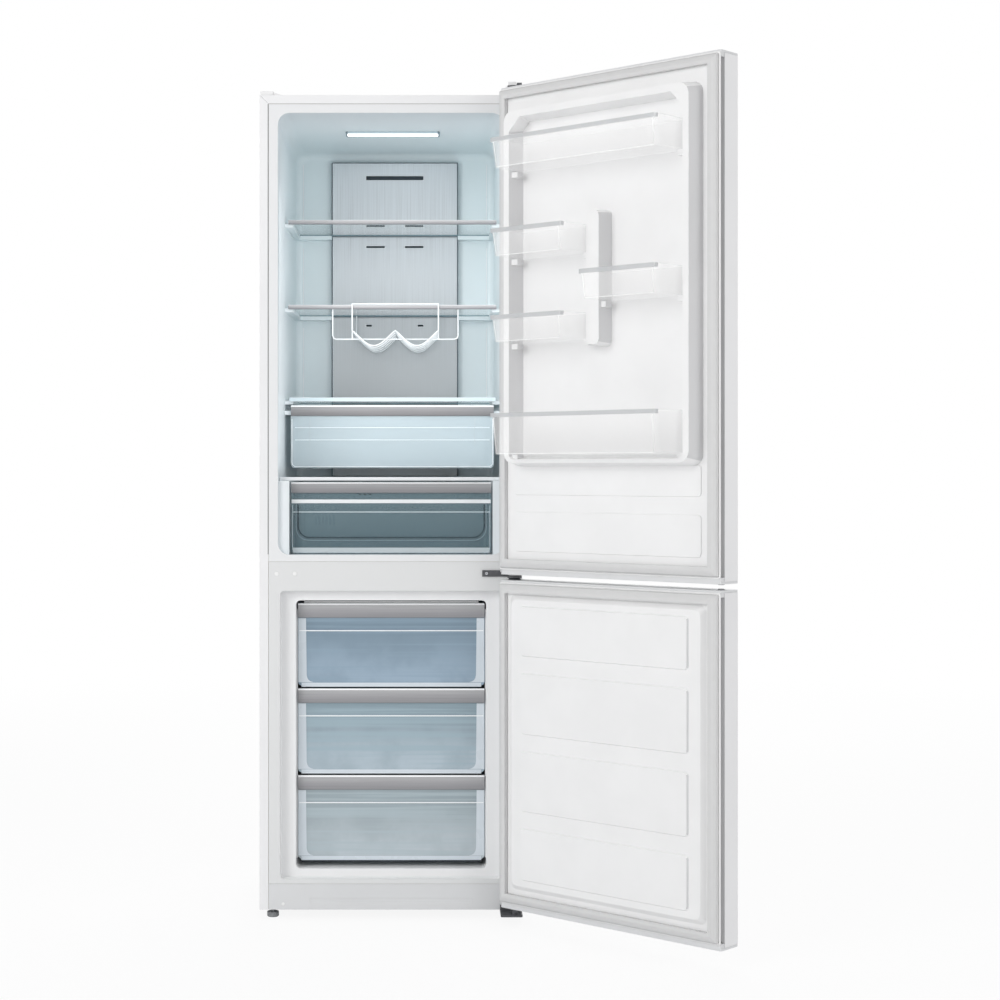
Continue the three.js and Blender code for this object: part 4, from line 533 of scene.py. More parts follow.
@dataclass(frozen=True)
class Lamp(Finish):
    """A lens that is lit along its middle, dark at its two ends."""

    middle: Pair = (0.0, 0.0)
    reach: Pair = (0.1, 0.01)
    strength: float = 5.0

    def paint(self, shader: Shader) -> dict[str, Any]:
        """The inputs of its Principled shader."""
        across, along, _ = shader.axes()
        end = shader.step(abs(across - self.middle[0]), self.reach[0] - 0.003, self.reach[0])
        side = shader.step(abs(along - self.middle[1]), self.reach[1] - 0.002, self.reach[1])
        lit = (1.0 - end) * (1.0 - side)
        ribs = (across * 1800.0).sine() * 0.5 + 0.5
        return dict(
            Base_Color=shader.blend(end, self.colour, tint(120, 140, 150)),
            Emission_Color=shader.blend(lit, PURE_BLACK, PURE_WHITE),
            Emission_Strength=self.strength,
            Roughness=self.roughness + ribs * 0.1,
            Normal=shader.bump(ribs, 0.0001, 0.4),
        )


WHITE_STEEL = PaintedSteel("white_steel_paint", "white_steel", tint(243, 243, 244), 0.34)
# painted shade: a darker, rougher copy of the white paint for the shell's top face
TOP_STEEL_PAINTED_SHADE = PaintedSteel("white_steel_top_painted_shade", "white_steel", tint(228, 229, 230), 0.62)
ZINC = Zinc("zinc_sheet", "zinc_steel", tint(196, 199, 202), 0.32)
WHITE = Plastic("white_moulding", "white_plastic", tint(244, 244, 244), 0.42)
BASE_WHITE = Plastic("base_moulding", "white_plastic", tint(224, 225, 226), 0.42)
DOOR_WHITE = Plastic("door_liner_moulding", "white_plastic", tint(247, 247, 247), 0.38)
# painted shade: a darker copy of the door liner for faces turned to the door's free end
RIM_SHADE = Plastic("door_rim_side_painted_shade", "white_plastic", tint(220, 220, 221), 0.45)
# painted light and shade: the liner's inside is tinted blue and darker towards the back and the top
FRIDGE_LINER = Liner(
    "fridge_liner_moulding", "liner_plastic", tint(236, 237, 238), 0.4,
    inside=tint(236, 241, 244), deep=tint(228, 240, 243), low=0.85, high=1.8,
)
FREEZER_LINER = Liner(
    "freezer_liner_moulding", "liner_plastic", tint(228, 229, 229), 0.4,
    inside=tint(243, 243, 243), deep=tint(226, 234, 240), low=0.1, high=0.7,
)
# painted highlight: near-white rods where the liner's rounded corners catch light
LINER_CORNER_HIGHLIGHT = Plastic("liner_corner_bead", "liner_plastic", tint(250, 253, 255), 0.3)
# dark colour of the steel's mitre joints, and painted shadow in the gaps beside the fridge's liner
JOINT_AND_GAP_SHADE = Plastic("joint_line_and_gap_shade", "dark_plastic", tint(112, 114, 116), 0.6)
CAP = Plastic("end_cap_moulding", "grey_plastic", tint(226, 227, 228), 0.45)
GREY = Plastic("grey_moulding", "grey_plastic", tint(160, 161, 163), 0.5)
# painted shade: a darker copy of the door liner for the faces in the finger groove
GRIP_PAINTED_SHADE = Plastic("grip_groove_shade", "white_plastic", tint(208, 208, 209), 0.55)
FOOT_GREY = Plastic("foot_moulding", "grey_plastic", tint(146, 148, 150), 0.55, shade=0.05)
DARK = Plastic("dark_moulding", "dark_plastic", tint(52, 56, 60), 0.5, shade=0.05)
# painted shadow: dark boxes and strips put where slots and gaps lie in shade
SHADOW = Plastic("painted_slot_shadow", "dark_plastic", tint(42, 54, 62), 0.6, shade=0.05)
OUTLINE = Plastic("duct_seal", "dark_plastic", tint(104, 116, 124), 0.6)
SEAL = Rubber("seal_rubber", "gasket_rubber", tint(222, 222, 222), 0.6)
INSULATION = Foam("rigid_foam", "insulation", tint(232, 220, 180), 0.9)
# painted shade: the duct cover darkens towards its lower end
DUCT = BrushedMetal(
    "duct_brushed", "duct_metal", tint(212, 219, 224), 0.27, grain=Grain.UPRIGHT, metallic=0.45,
    contrast=0.09, low_colour=tint(170, 175, 178), low=1.2, high=1.78,
)
# painted highlight: near-white on the rounded edges of the duct cover
DUCT_EDGE_HIGHLIGHT = BrushedMetal("duct_edge_painted_highlight", "duct_metal", tint(246, 249, 251), 0.3, metallic=0.1)
# painted shade: trims darken towards their lower edge
TRIM = BrushedMetal(
    "trim_brushed", "trim_metal", tint(172, 172, 174), 0.36, metallic=0.25,
    low_colour=tint(140, 140, 143),
)
# painted highlight: near-white on the upward faces of trims
BAND_LIP_HIGHLIGHT = BrushedMetal("band_lip_painted_highlight", "trim_metal", tint(244, 246, 247), 0.3, metallic=0.1)
COVER_TRIM = Plastic("cover_trim_pale", "clear_plastic", tint(200, 216, 223), 0.2)
BAY_TRIM = BrushedMetal("bay_trim_satin", "trim_metal", tint(232, 235, 237), 0.3, metallic=0.2)
HINGE = Steel("hinge_pressing", "hinge_steel", tint(94, 95, 98), 0.42)
SCREW = Steel("screw_plating", "hinge_steel", tint(186, 188, 192), 0.3, metallic=0.6)
BLACK = Steel("compressor_enamel", "black_steel", tint(26, 27, 29), 0.34, metallic=0.1)
COPPER = Steel("copper_tube", "coil_aluminium", tint(196, 124, 84), 0.32, metallic=0.95)
COIL = Steel("coil_aluminium_finish", "coil_aluminium", tint(188, 192, 196), 0.38, metallic=0.85)
WIRE = Plastic("wire_coating", "white_wire", tint(232, 236, 238), 0.28, relief=0.00002)
GLASS = Clear("shelf_glass_pane", "shelf_glass", tint(176, 196, 200), 0.06, cover=0.2, ior=1.5)
GLASS_EDGE = Clear("shelf_glass_edge", "shelf_glass", tint(96, 138, 148), 0.12, cover=0.8, ior=1.5)
# painted shade: a much darker copy of the shelves' teal glass edge colour for the bay cover
BAY_EDGE_SHADE = Clear("bay_glass_edge_shaded", "shelf_glass", tint(44, 74, 82), 0.12, cover=0.95, ior=1.5)
CRISPER = Clear(
    "upper_crisper_clear", "clear_plastic", tint(214, 230, 237), 0.1, cover=0.46, haze=0.06,
)
SMOKED = Clear(
    "lower_crisper_smoked", "smoked_plastic", tint(134, 162, 172), 0.1, cover=0.38, haze=0.04,
    cool=tint(122, 150, 161), low=0.85, high=0.94,
)
SMOKED_LINE = Clear("moulded_line_dark", "smoked_plastic", tint(38, 56, 68), 0.12, cover=0.9)
# freezer drawers: frosted blue-grey tint with painted shade of their insides
DRAWER = Clear(
    "freezer_drawer_frosted", "clear_plastic", tint(128, 150, 166), 0.22, cover=0.82, streak=0.75,
)
STRIP = Clear("drawer_side_pale", "clear_plastic", tint(214, 223, 230), 0.25, cover=0.9)
# painted highlights: light lines along the moulded steps and edges of crispers and drawers
RIB_HIGHLIGHT = Clear("moulded_rib_highlight", "clear_plastic", tint(232, 242, 247), 0.12, cover=0.85)
RIB_BRIGHT_HIGHLIGHT = Clear("moulded_rib_bright_highlight", "clear_plastic", tint(250, 253, 255), 0.1, cover=0.95)
RIB_GREY_HIGHLIGHT = Clear("moulded_rib_grey_highlight", "smoked_plastic", tint(176, 192, 200), 0.12, cover=0.8)
RIB_PALE_HIGHLIGHT = Clear("moulded_rib_pale_highlight", "smoked_plastic", tint(218, 228, 232), 0.12, cover=0.85)
RIB_FAINT_HIGHLIGHT = Clear("moulded_rib_faint_highlight", "clear_plastic", tint(236, 246, 250), 0.12, cover=0.4)
# painted light: the bins glow faintly, and their edges get glowing near-white painted highlights
BIN = Clear("bin_frosted", "frosted_plastic", tint(255, 255, 255), 0.14, cover=0.14, glow=0.17)
BIN_EDGE_HIGHLIGHT = Clear(
    "bin_edge_painted_highlight", "frosted_plastic", tint(255, 255, 255), 0.2, cover=0.9, glow=0.14,
)
BIN_RIM = Clear("bin_rim_frosted", "frosted_plastic", tint(198, 200, 202), 0.3, cover=0.85)


# ---------------------------------------------------------------- shapes


def full_turn(sides: int) -> list[float]:
    """Where the corners of a regular polygon lie round its middle, in radians."""
    return [2 * math.pi * side / sides for side in range(sides)]


def rounded(
    u0: float, u1: float, v0: float, v1: float, radius: float, steps: int = 4,
) -> list[Pair]:
    """Points round a rectangle with round corners, anticlockwise.

    Args:
        u0: Low end along the first axis.
        u1: High end along the first axis.
        v0: Low end along the second axis.
        v1: High end along the second axis.
        radius: Of each corner.
        steps: Pieces of each corner.

    Returns:
        The points.
    """
    points = []
    for u, v, start in ((u1, v0, -90), (u1, v1, 0), (u0, v1, 90), (u0, v0, 180)):
        middle_u = u - math.copysign(radius, u - (u0 + u1) / 2)
        middle_v = v - math.copysign(radius, v - (v0 + v1) / 2)
        for step in range(steps + 1):
            turn = math.radians(start + 90 * step / steps)
            points.append((middle_u + radius * math.cos(turn), middle_v + radius * math.sin(turn)))
    return points


class Mould:
    """Closed shapes drawn in millimetres, which become one piece."""

    def __init__(self) -> None:
        """Starts with nothing drawn."""
        self.shape = bmesh.new()

    def loft(self, rings: Sequence[Sequence[Point]], round_trip: bool = False) -> "Mould":
        """Joins rings of equal length with faces.

        Args:
            rings: The rings, in order.
            round_trip: Whether the last ring joins the first; otherwise both ends are closed.

        Returns:
            Itself.
        """
        made = [[self.shape.verts.new(point) for point in ring] for ring in rings]
        pairs = list(zip(made, made[1:]))
        if round_trip:
            pairs.append((made[-1], made[0]))
        else:
            self.shape.faces.new(list(reversed(made[0])))
            self.shape.faces.new(made[-1])
        for near, far in pairs:
            for here in range(len(near)):
                there = (here + 1) % len(near)
                self.shape.faces.new((near[here], near[there], far[there], far[here]))
        return self

    def box(self, x0: float, x1: float, y0: float, y1: float, z0: float, z1: float) -> "Mould":
        """Draws a box and returns itself."""
        plan = [(x0, y0), (x1, y0), (x1, y1), (x0, y1)]
        return self.loft([[(x, y, z) for x, y in plan] for z in (z0, z1)])

    def bar(self, half: float, y0: float, y1: float, z0: float, z1: float) -> "Mould":
        """Draws a box that reaches as far to either side of the middle and returns itself."""
        return self.box(-half, half, y0, y1, z0, z1)

    def twins(
        self, near: float, far: float, y0: float, y1: float, z0: float, z1: float,
    ) -> "Mould":
        """Draws a box on either side, from near to far of the middle, and returns itself."""
        return self.box(-far, -near, y0, y1, z0, z1).box(near, far, y0, y1, z0, z1)

    def slab(self, outline: Sequence[Pair], y0: float, y1: float) -> "Mould":
        """Draws an outline in X and Z as a plate from y0 to y1 and returns itself."""
        return self.loft([[(x, y, z) for x, z in outline] for y in (y0, y1)])

    def turned(
        self, profile: Sequence[Pair], centre: Point, axis: str = "z", sides: int = 24,
    ) -> "Mould":
        """Turns a profile of (radius, height) round a "z" or "y" axis and returns itself."""
        def spot(radius: float, height: float, angle: float) -> Point:
            """A point of the profile after a turn by the angle."""
            u, v = radius * math.cos(angle), radius * math.sin(angle)
            x, y, z = (u, v, height) if axis == "z" else (u, height, v)
            return centre[0] + x, centre[1] + y, centre[2] + z

        return self.loft([
            [spot(radius, height, turn) for turn in full_turn(sides)] for radius, height in profile
        ])

    def tube(self, points: Sequence[Point], radius: float, sides: int = 10) -> "Mould":
        """Draws a round tube or rod along points and returns itself."""
        path = [Vector(point) for point in points]
        ends = [path[0], *path, path[-1]]
        side = None
        rings = []
        for index, point in enumerate(path):
            along = (ends[index + 2] - ends[index]).normalized()
            side = along.orthogonal() if side is None else side - along * side.dot(along)
            side.normalize()
            up = along.cross(side)
            rings.append([
                tuple(point + radius * (math.cos(turn) * side + math.sin(turn) * up))
                for turn in full_turn(sides)
            ])
        return self.loft(rings)

    def frame(
        self, profile: Sequence[Pair], bounds: Sequence[float], radius: float, y: float,
    ) -> "Mould":
        """Sweeps a profile round a rectangle in X and Z.

        Args:
            profile: Closed points (inset from the rectangle, height over the plane at y).
            bounds: The rectangle's x0, x1, z0 and z1.
            radius: Of its corners.
            y: The plane that the profile stands on, which faces away from low Y.

        Returns:
            Itself.
        """
        x0, x1, z0, z1 = bounds
        rings = [
            [(x, y + height, z) for x, z in rounded(
                x0 + inset, x1 - inset, z0 + inset, z1 - inset, max(radius - inset, 2.0), 5,
            )] for inset, height in profile
        ]
        return self.loft(rings, round_trip=True)

    def mesh(self, name: str, matrix: Matrix) -> bpy.types.Mesh:
        """Takes the drawing to the frame as a mesh with its faces outwards."""
        bmesh.ops.remove_doubles(self.shape, verts=self.shape.verts, dist=1e-4)
        self.shape.transform(matrix)
        bmesh.ops.recalc_face_normals(self.shape, faces=self.shape.faces)
        made = bpy.data.meshes.new(name)
        self.shape.to_mesh(made)
        self.shape.free()
        return made


def hoop(
    half: float, low: float, high: float, corner: float, y: float, steps: int = 6,
) -> list[Point]:
    """A path down, round two corners and up again, in a plane that faces the front.

    Args:
        half: Half its width.
        low: Its lowest Z.
        high: Where both ends are.
        corner: Radius of the corners.
        y: The plane.
        steps: Pieces of each corner.

    Returns:
        The points.
    """
    turns = [math.radians(90 * step / steps) for step in range(steps + 1)]
    left = [
        (-half + corner * (1 - math.cos(turn)), y, low + corner * (1 - math.sin(turn)))
        for turn in turns
    ]
    right = [(-x, y, z) for x, _, z in reversed(left)]
    return [(-half, y, high), *left, *right, (half, y, high)]


def smooth_path(points: Sequence[Point], steps: int = 6) -> list[Point]:
    """Rounds a path of points with a Catmull-Rom curve.

    Args:
        points: The points that the path goes through.
        steps: Pieces between two points.

    Returns:
        The points of the curve.
    """
    knots = [Vector(point) for point in (points[0], *points, points[-1])]
    made = []
    for index in range(1, len(knots) - 2):
        before, start, end, after = knots[index - 1:index + 3]
        for step in range(steps):
            t = step / steps
            made.append(tuple(0.5 * (
                2 * start + (end - before) * t + (2 * before - 5 * start + 4 * end - after) * t ** 2
                + (3 * start - before - 3 * end + after) * t ** 3
            )))
    return [*made, tuple(knots[-1])]


# ---------------------------------------------------------------- repeated parts


class PartTree(Graph):
    """A Geometry Nodes tree with named inputs, which grows a row of equal things."""

    row_inputs = (("Start", "Vector"), ("Step", "Vector"), ("Count", "Int"))

    def __init__(self, name: str, inputs: Sequence[tuple[str, str]]) -> None:
        """Makes the tree's inputs, which start with those of a row.

        Args:
            name: The tree's name.
            inputs: Pairs of a further input's name and its socket's kind, such as "Float".
        """
        super().__init__(bpy.data.node_groups.new(name, "GeometryNodeTree"))
        self.keys = {
            label: self._socket(label, kind, "INPUT")
            for label, kind in (*self.row_inputs, *inputs, ("Material", "Material"))
        }
        self._socket("Geometry", "Geometry", "OUTPUT")
        self.given = self.node("NodeGroupInput").outputs

    def _socket(self, label: str, kind: str, way: str) -> str:
        """Adds an input or output to the tree and returns its identifier."""
        return self.tree.interface.new_socket(
            name=label, in_out=way, socket_type=f"NodeSocket{kind}",
        ).identifier

    def close(self, thing: bpy.types.NodeSocket, **turned: bpy.types.NodeSocket) -> None:
        """Sets the thing in a row and ends the tree in Realize Instances and Set Material.

        Args:
            thing: What stands in the row.
            turned: The Rotation of each, where they differ.
        """
        line = self.node("GeometryNodeMeshLine", {"mode": "OFFSET"}, {
            "Count": self.given["Count"], "Start Location": self.given["Start"],
            "Offset": self.given["Step"],
        })
        row = self.node("GeometryNodeInstanceOnPoints", inputs={
            "Points": line.outputs[0], "Instance": thing, **turned,
        })
        real = self.node("GeometryNodeRealizeInstances", inputs={0: row.outputs[0]})
        painted = self.node("GeometryNodeSetMaterial", inputs={
            "Geometry": real.outputs[0], "Material": self.given["Material"],
        })
        self.node("NodeGroupOutput", inputs={0: painted.outputs[0]})

    def grow(
        self, name: str, material: bpy.types.Material, matrix: Matrix, **inputs: Any,
    ) -> bpy.types.Mesh:
        """Evaluates the tree once.

        Args:
            name: The mesh's name.
            material: What Set Material gives it.
            matrix: Takes millimetres to the frame.
            inputs: Values of the tree's inputs; underscores stand for spaces.

        Returns:
            A plain mesh.
        """
        host = bpy.data.objects.new(f"{name}_host", bpy.data.meshes.new(f"{name}_host"))
        bpy.context.scene.collection.objects.link(host)
        modifier = host.modifiers.new("grow", "NODES")
        modifier.node_group = self.tree
        modifier[self.keys["Material"]] = material
        for label, given in inputs.items():
            modifier[self.keys[label.replace("_", " ")]] = given
        host.update_tag()
        bpy.context.view_layer.update()
        view = host.evaluated_get(bpy.context.evaluated_depsgraph_get())
        made = bpy.data.meshes.new_from_object(view)
        host.modifiers.remove(modifier)
        bpy.data.objects.remove(host)
        made.name = name
        made.transform(matrix)
        return made


def bar_row_tree() -> PartTree:
    """A row of equal bars: fins, ribs, slats or dots."""
    tree = PartTree("bar_row", [("Size", "Vector")])
    bar = tree.node("GeometryNodeMeshCube", inputs={"Size": tree.given["Size"]})
    tree.close(bar.outputs[0])
    return tree


def screw_row_tree(seed: int = 7) -> PartTree:
    """A row of cross-head screws, each turned as it was driven home."""
    tree = PartTree("screw_row", [
        ("Radius", "Float"), ("Height", "Float"), ("Slot", "Vector"), ("Cross Slot", "Vector"),
        ("Facing", "Vector"),
    ])
    top = tree.node("ShaderNodeMath", {"operation": "MULTIPLY"}, {0: tree.given["Radius"], 1: 0.72})
    head = tree.node("GeometryNodeMeshCone", inputs={
        "Vertices": 20, "Radius Top": top.outputs[0], "Radius Bottom": tree.given["Radius"],
        "Depth": tree.given["Height"],
    })
    lift = tree.node("ShaderNodeCombineXYZ", inputs={2: tree.given["Height"]})
    cut = tree.node(
        "GeometryNodeMeshBoolean", {"operation": "DIFFERENCE"}, {"Mesh 1": head.outputs[0]},
    )
    for key in ("Slot", "Cross Slot"):
        cutter = tree.node("GeometryNodeMeshCube", inputs={"Size": tree.given[key]})
        raised = tree.node("GeometryNodeTransform", inputs={
            "Geometry": cutter.outputs[0], "Translation": lift.outputs[0],
        })
        tree.tree.links.new(raised.outputs[0], cut.inputs["Mesh 2"])
    turn = tree.node("FunctionNodeRandomValue", {"data_type": "FLOAT"}, {
        2: 0.0, 3: math.pi, "Seed": seed,
    })
    spin = tree.node("ShaderNodeCombineXYZ", inputs={2: turn.outputs[1]})
    aim = tree.node("FunctionNodeEulerToRotation", inputs={0: tree.given["Facing"]})
    own = tree.node("FunctionNodeEulerToRotation", inputs={0: spin.outputs[0]})
    both = tree.node("FunctionNodeRotateRotation", {"rotation_space": "LOCAL"}, {
        0: aim.outputs[0], 1: own.outputs[0],
    })
    tree.close(cut.outputs[0], Rotation=both.outputs[0])
    return tree


def wave_wire_tree() -> PartTree:
    """Wires that dip twice between three crests, one behind the other."""
    tree = PartTree("wave_wires", [
        ("Width", "Float"), ("Sag", "Float"), ("Roundness", "Float"), ("Radius", "Float"),
    ])
    path = tree.node("GeometryNodeCurvePrimitiveLine")
    fine = tree.node("GeometryNodeResampleCurve", inputs={"Curve": path.outputs[0], "Count": 65})
    share = Value(tree, tree.node("GeometryNodeSplineParameter").outputs["Factor"])
    dip = abs((share * (2 * math.pi)).sine()) ** Value(tree, tree.given["Roundness"])
    drop = dip * Value(tree, tree.given["Sag"]) * -1.0
    across = share * Value(tree, tree.given["Width"])
    spot = tree.node("ShaderNodeCombineXYZ", inputs={0: across, 2: drop})
    bent = tree.node("GeometryNodeSetPosition", inputs={
        "Geometry": fine.outputs[0], "Position": spot.outputs[0],
    })
    section = tree.node("GeometryNodeCurvePrimitiveCircle", inputs={
        "Resolution": 10, "Radius": tree.given["Radius"],
    })
    wire = tree.node("GeometryNodeCurveToMesh", inputs={
        "Curve": bent.outputs[0], "Profile Curve": section.outputs[0], "Fill Caps": True,
    })
    tree.close(wire.outputs[0])
    return tree


# ---------------------------------------------------------------- workshop


class Workshop:
    """Turns drawings and copied solids into finished pieces that ride on their bodies."""

    def __init__(self, frame: dict[str, Any]) -> None:
        """Reads from the frame where the cabinet and the hinge axis are.
        """
        self.nodes = frame["nodes"]
        self.materials: dict[str, bpy.types.Material] = {}
        bodies = frame["record"]["behaviour"]["bodies"]
        self.body_of = {node: body for body, nodes in bodies.items() for node in nodes}
        low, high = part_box("cabinet_shell")
        origin = Vector(((low.x + high.x) / 2, low.y, 0.0))
        hinge = next(joint for joint in frame["joints"] if joint["name"] == "upper_door_hinge")
        opening = math.radians(-hinge["range_deg"][0])
        pivot = Vector((hinge["pos_m"][0], hinge["pos_m"][1], 0.0))
        self.cabinet = Matrix.Translation(origin) @ Matrix.Scale(MM, 4)
        self.door = (
            Matrix.Translation(pivot) @ Matrix.Rotation(opening, 4, "Z")
            @ Matrix.Translation(-pivot) @ self.cabinet
        )
        self.bars = bar_row_tree()
        self.screws = screw_row_tree()
        self.waves = wave_wire_tree()

    def drawn(self, bounds: tuple[Vector, Vector]) -> tuple[Vector, Vector]:
        """A box of the frame in millimetres of the cabinet."""
        inverse = self.cabinet.inverted()
        return inverse @ bounds[0], inverse @ bounds[1]

    def material(self, finish: Finish) -> bpy.types.Material:
        """The material of a finish, made once."""
        if finish.name not in self.materials:
            self.materials[finish.name] = finish.build()
        return self.materials[finish.name]

    def piece(
        self, mesh: bpy.types.Mesh, body: str, finish: Finish, bevel: float = 0.0,
        replaces: Iterable[str] = (), edge_slot: int = -1,
    ) -> None:
        """Makes a finished piece from a mesh that is already in its place.

        Args:
            mesh: Its mesh, in the frame; its name becomes the piece's.
            body: The body that it rides on.
            finish: Its finish, unless the mesh has materials.
            bevel: Width of the rounded edges in millimetres.
            replaces: The solids that it stands for.
            edge_slot: Material slot of the rounded edges, or -1 for that of their neighbours.
        """
        made = bpy.data.objects.new(mesh.name, mesh)
        bpy.context.scene.collection.objects.link(made)
        if not mesh.materials:
            mesh.materials.append(self.material(finish))
        mesh.polygons.foreach_set("use_smooth", [True] * len(mesh.polygons))
        if bevel:
            edge = made.modifiers.new("edges", "BEVEL")
            edge.width = bevel * MM
            edge.segments = 2
            edge.material = edge_slot
            edge.limit_method = "ANGLE"
            edge.angle_limit = BEVEL_ANGLE
        level = made.modifiers.new("shading", "WEIGHTED_NORMAL")
        level.keep_sharp = True
        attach(made, body)
        if replaces:
            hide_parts(*replaces)
        LOG.info("piece %s on %s", made.name, body)

    def draw(
        self, mould: Mould, name: str, body: str, finish: Finish, bevel: float = 0.4,
        on_door: bool = False, replaces: Iterable[str] = (),
    ) -> None:
        """Makes a finished piece from a drawing."""
        mesh = mould.mesh(name, self.door if on_door else self.cabinet)
        self.piece(mesh, body, finish, bevel, replaces)

    def repeat(
        self, tree: PartTree, name: str, body: str, finish: Finish, bevel: float = 0.0,
        replaces: Iterable[str] = (), **inputs: Any,
    ) -> None:
        """Makes a finished piece from a Geometry Nodes tree."""
        mesh = tree.grow(name, self.material(finish), self.cabinet, **inputs)
        self.piece(mesh, body, finish, bevel, replaces)

    def screw_row(
        self, name: str, body: str, start: Point, step: Point, count: int, radius: float = 4.0,
        height: float = 1.2, facing: Point = (0.0, 0.0, 0.0),
    ) -> None:
        """Sets a row of screws, whose heads face along +Z before they are turned by facing."""
        arm, blade, deep = radius * 1.1, radius * 0.28, height * 1.2
        self.repeat(
            self.screws, name, body, SCREW, Start=start, Step=step, Count=count, Radius=radius,
            Height=height, Slot=(arm, blade, deep), Cross_Slot=(blade, arm, deep), Facing=facing,
        )

    def copy(self, node: str, zones: Zones, finish: Finish) -> bpy.types.Mesh:
        """Copies a solid's mesh as whole faces.

        Args:
            node: The solid.
            zones: Rules on a face's middle and normal, each with the finish of the faces it picks.
            finish: Of all the other faces.

        Returns:
            The merged mesh with its materials.
        """
        shape = bmesh.new()
        shape.from_mesh(self.nodes[node].data)
        bmesh.ops.remove_doubles(shape, verts=shape.verts, dist=WELD_REACH)
        bmesh.ops.dissolve_limit(
            shape, angle_limit=FLAT_ANGLE, verts=shape.verts, edges=shape.edges,
        )
        for face in shape.faces:
            middle = face.calc_center_median()
            face.material_index = next(
                (index for index, (rule, _) in enumerate(zones, 1) if rule(middle, face.normal)), 0,
            )
        made = bpy.data.meshes.new(f"{node}_piece")
        shape.to_mesh(made)
        shape.free()
        normals = made.attributes.get("custom_normal")
        if normals is not None:
            made.attributes.remove(normals)
        for each in (finish, *(zone for _, zone in zones)):
            made.materials.append(self.material(each))
        return made

    def dress(
        self, node: str, finish: Finish, bevel: float, zones: Zones = (),
        edge: Finish | None = None,
    ) -> None:
        """Stands a copy with rounded edges and smooth shading in a solid's place.

        Args:
            node: The solid.
            finish: Of the faces that no zone picks.
            bevel: Width of the rounded edges in millimetres.
            zones: Rules on a face's middle and normal, each with a finish.
            edge: Finish of the rounded edges, where they have one of their own.
        """
        mesh = self.copy(node, zones, finish)
        slot = -1
        if edge is not None:
            slot = len(mesh.materials)
            mesh.materials.append(self.material(edge))
        self.piece(mesh, self.body_of[node], finish, bevel, [node], slot)

    def dress_all(self, *rows: tuple[str, Finish, float]) -> None:
        """Dresses solids, each given with its finish and the width of its edges."""
        for row in rows:
            self.dress(*row)

    def trim(
        self, node: str, light: Colour = TRIM.colour, dark: Colour | None = TRIM.low_colour,
    ) -> None:
        """Dresses a metal trim whose lip, its upward faces, gets a painted highlight.

        Args:
            node: The trim.
            light: Its colour under the lip.
            dark: Its colour at its lower edge, which is painted shade.
        """
        low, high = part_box(node)
        finish = replace(
            TRIM, name=f"{node}_brushed", colour=light, low_colour=dark, low=low.z, high=high.z,
        )
        self.dress(node, finish, 0.5, [(lambda middle, normal: normal.z > 0.3, BAND_LIP_HIGHLIGHT)])

    def coat(self, node: str, finish: Finish) -> None:
        """Gives a solid that stays as it is its finish."""
        body = self.nodes[node]
        if not body.material_slots:
            body.data.materials.append(None)
        for slot in body.material_slots:
            slot.material = self.material(finish)


# ---------------------------------------------------------------- sub-assemblies


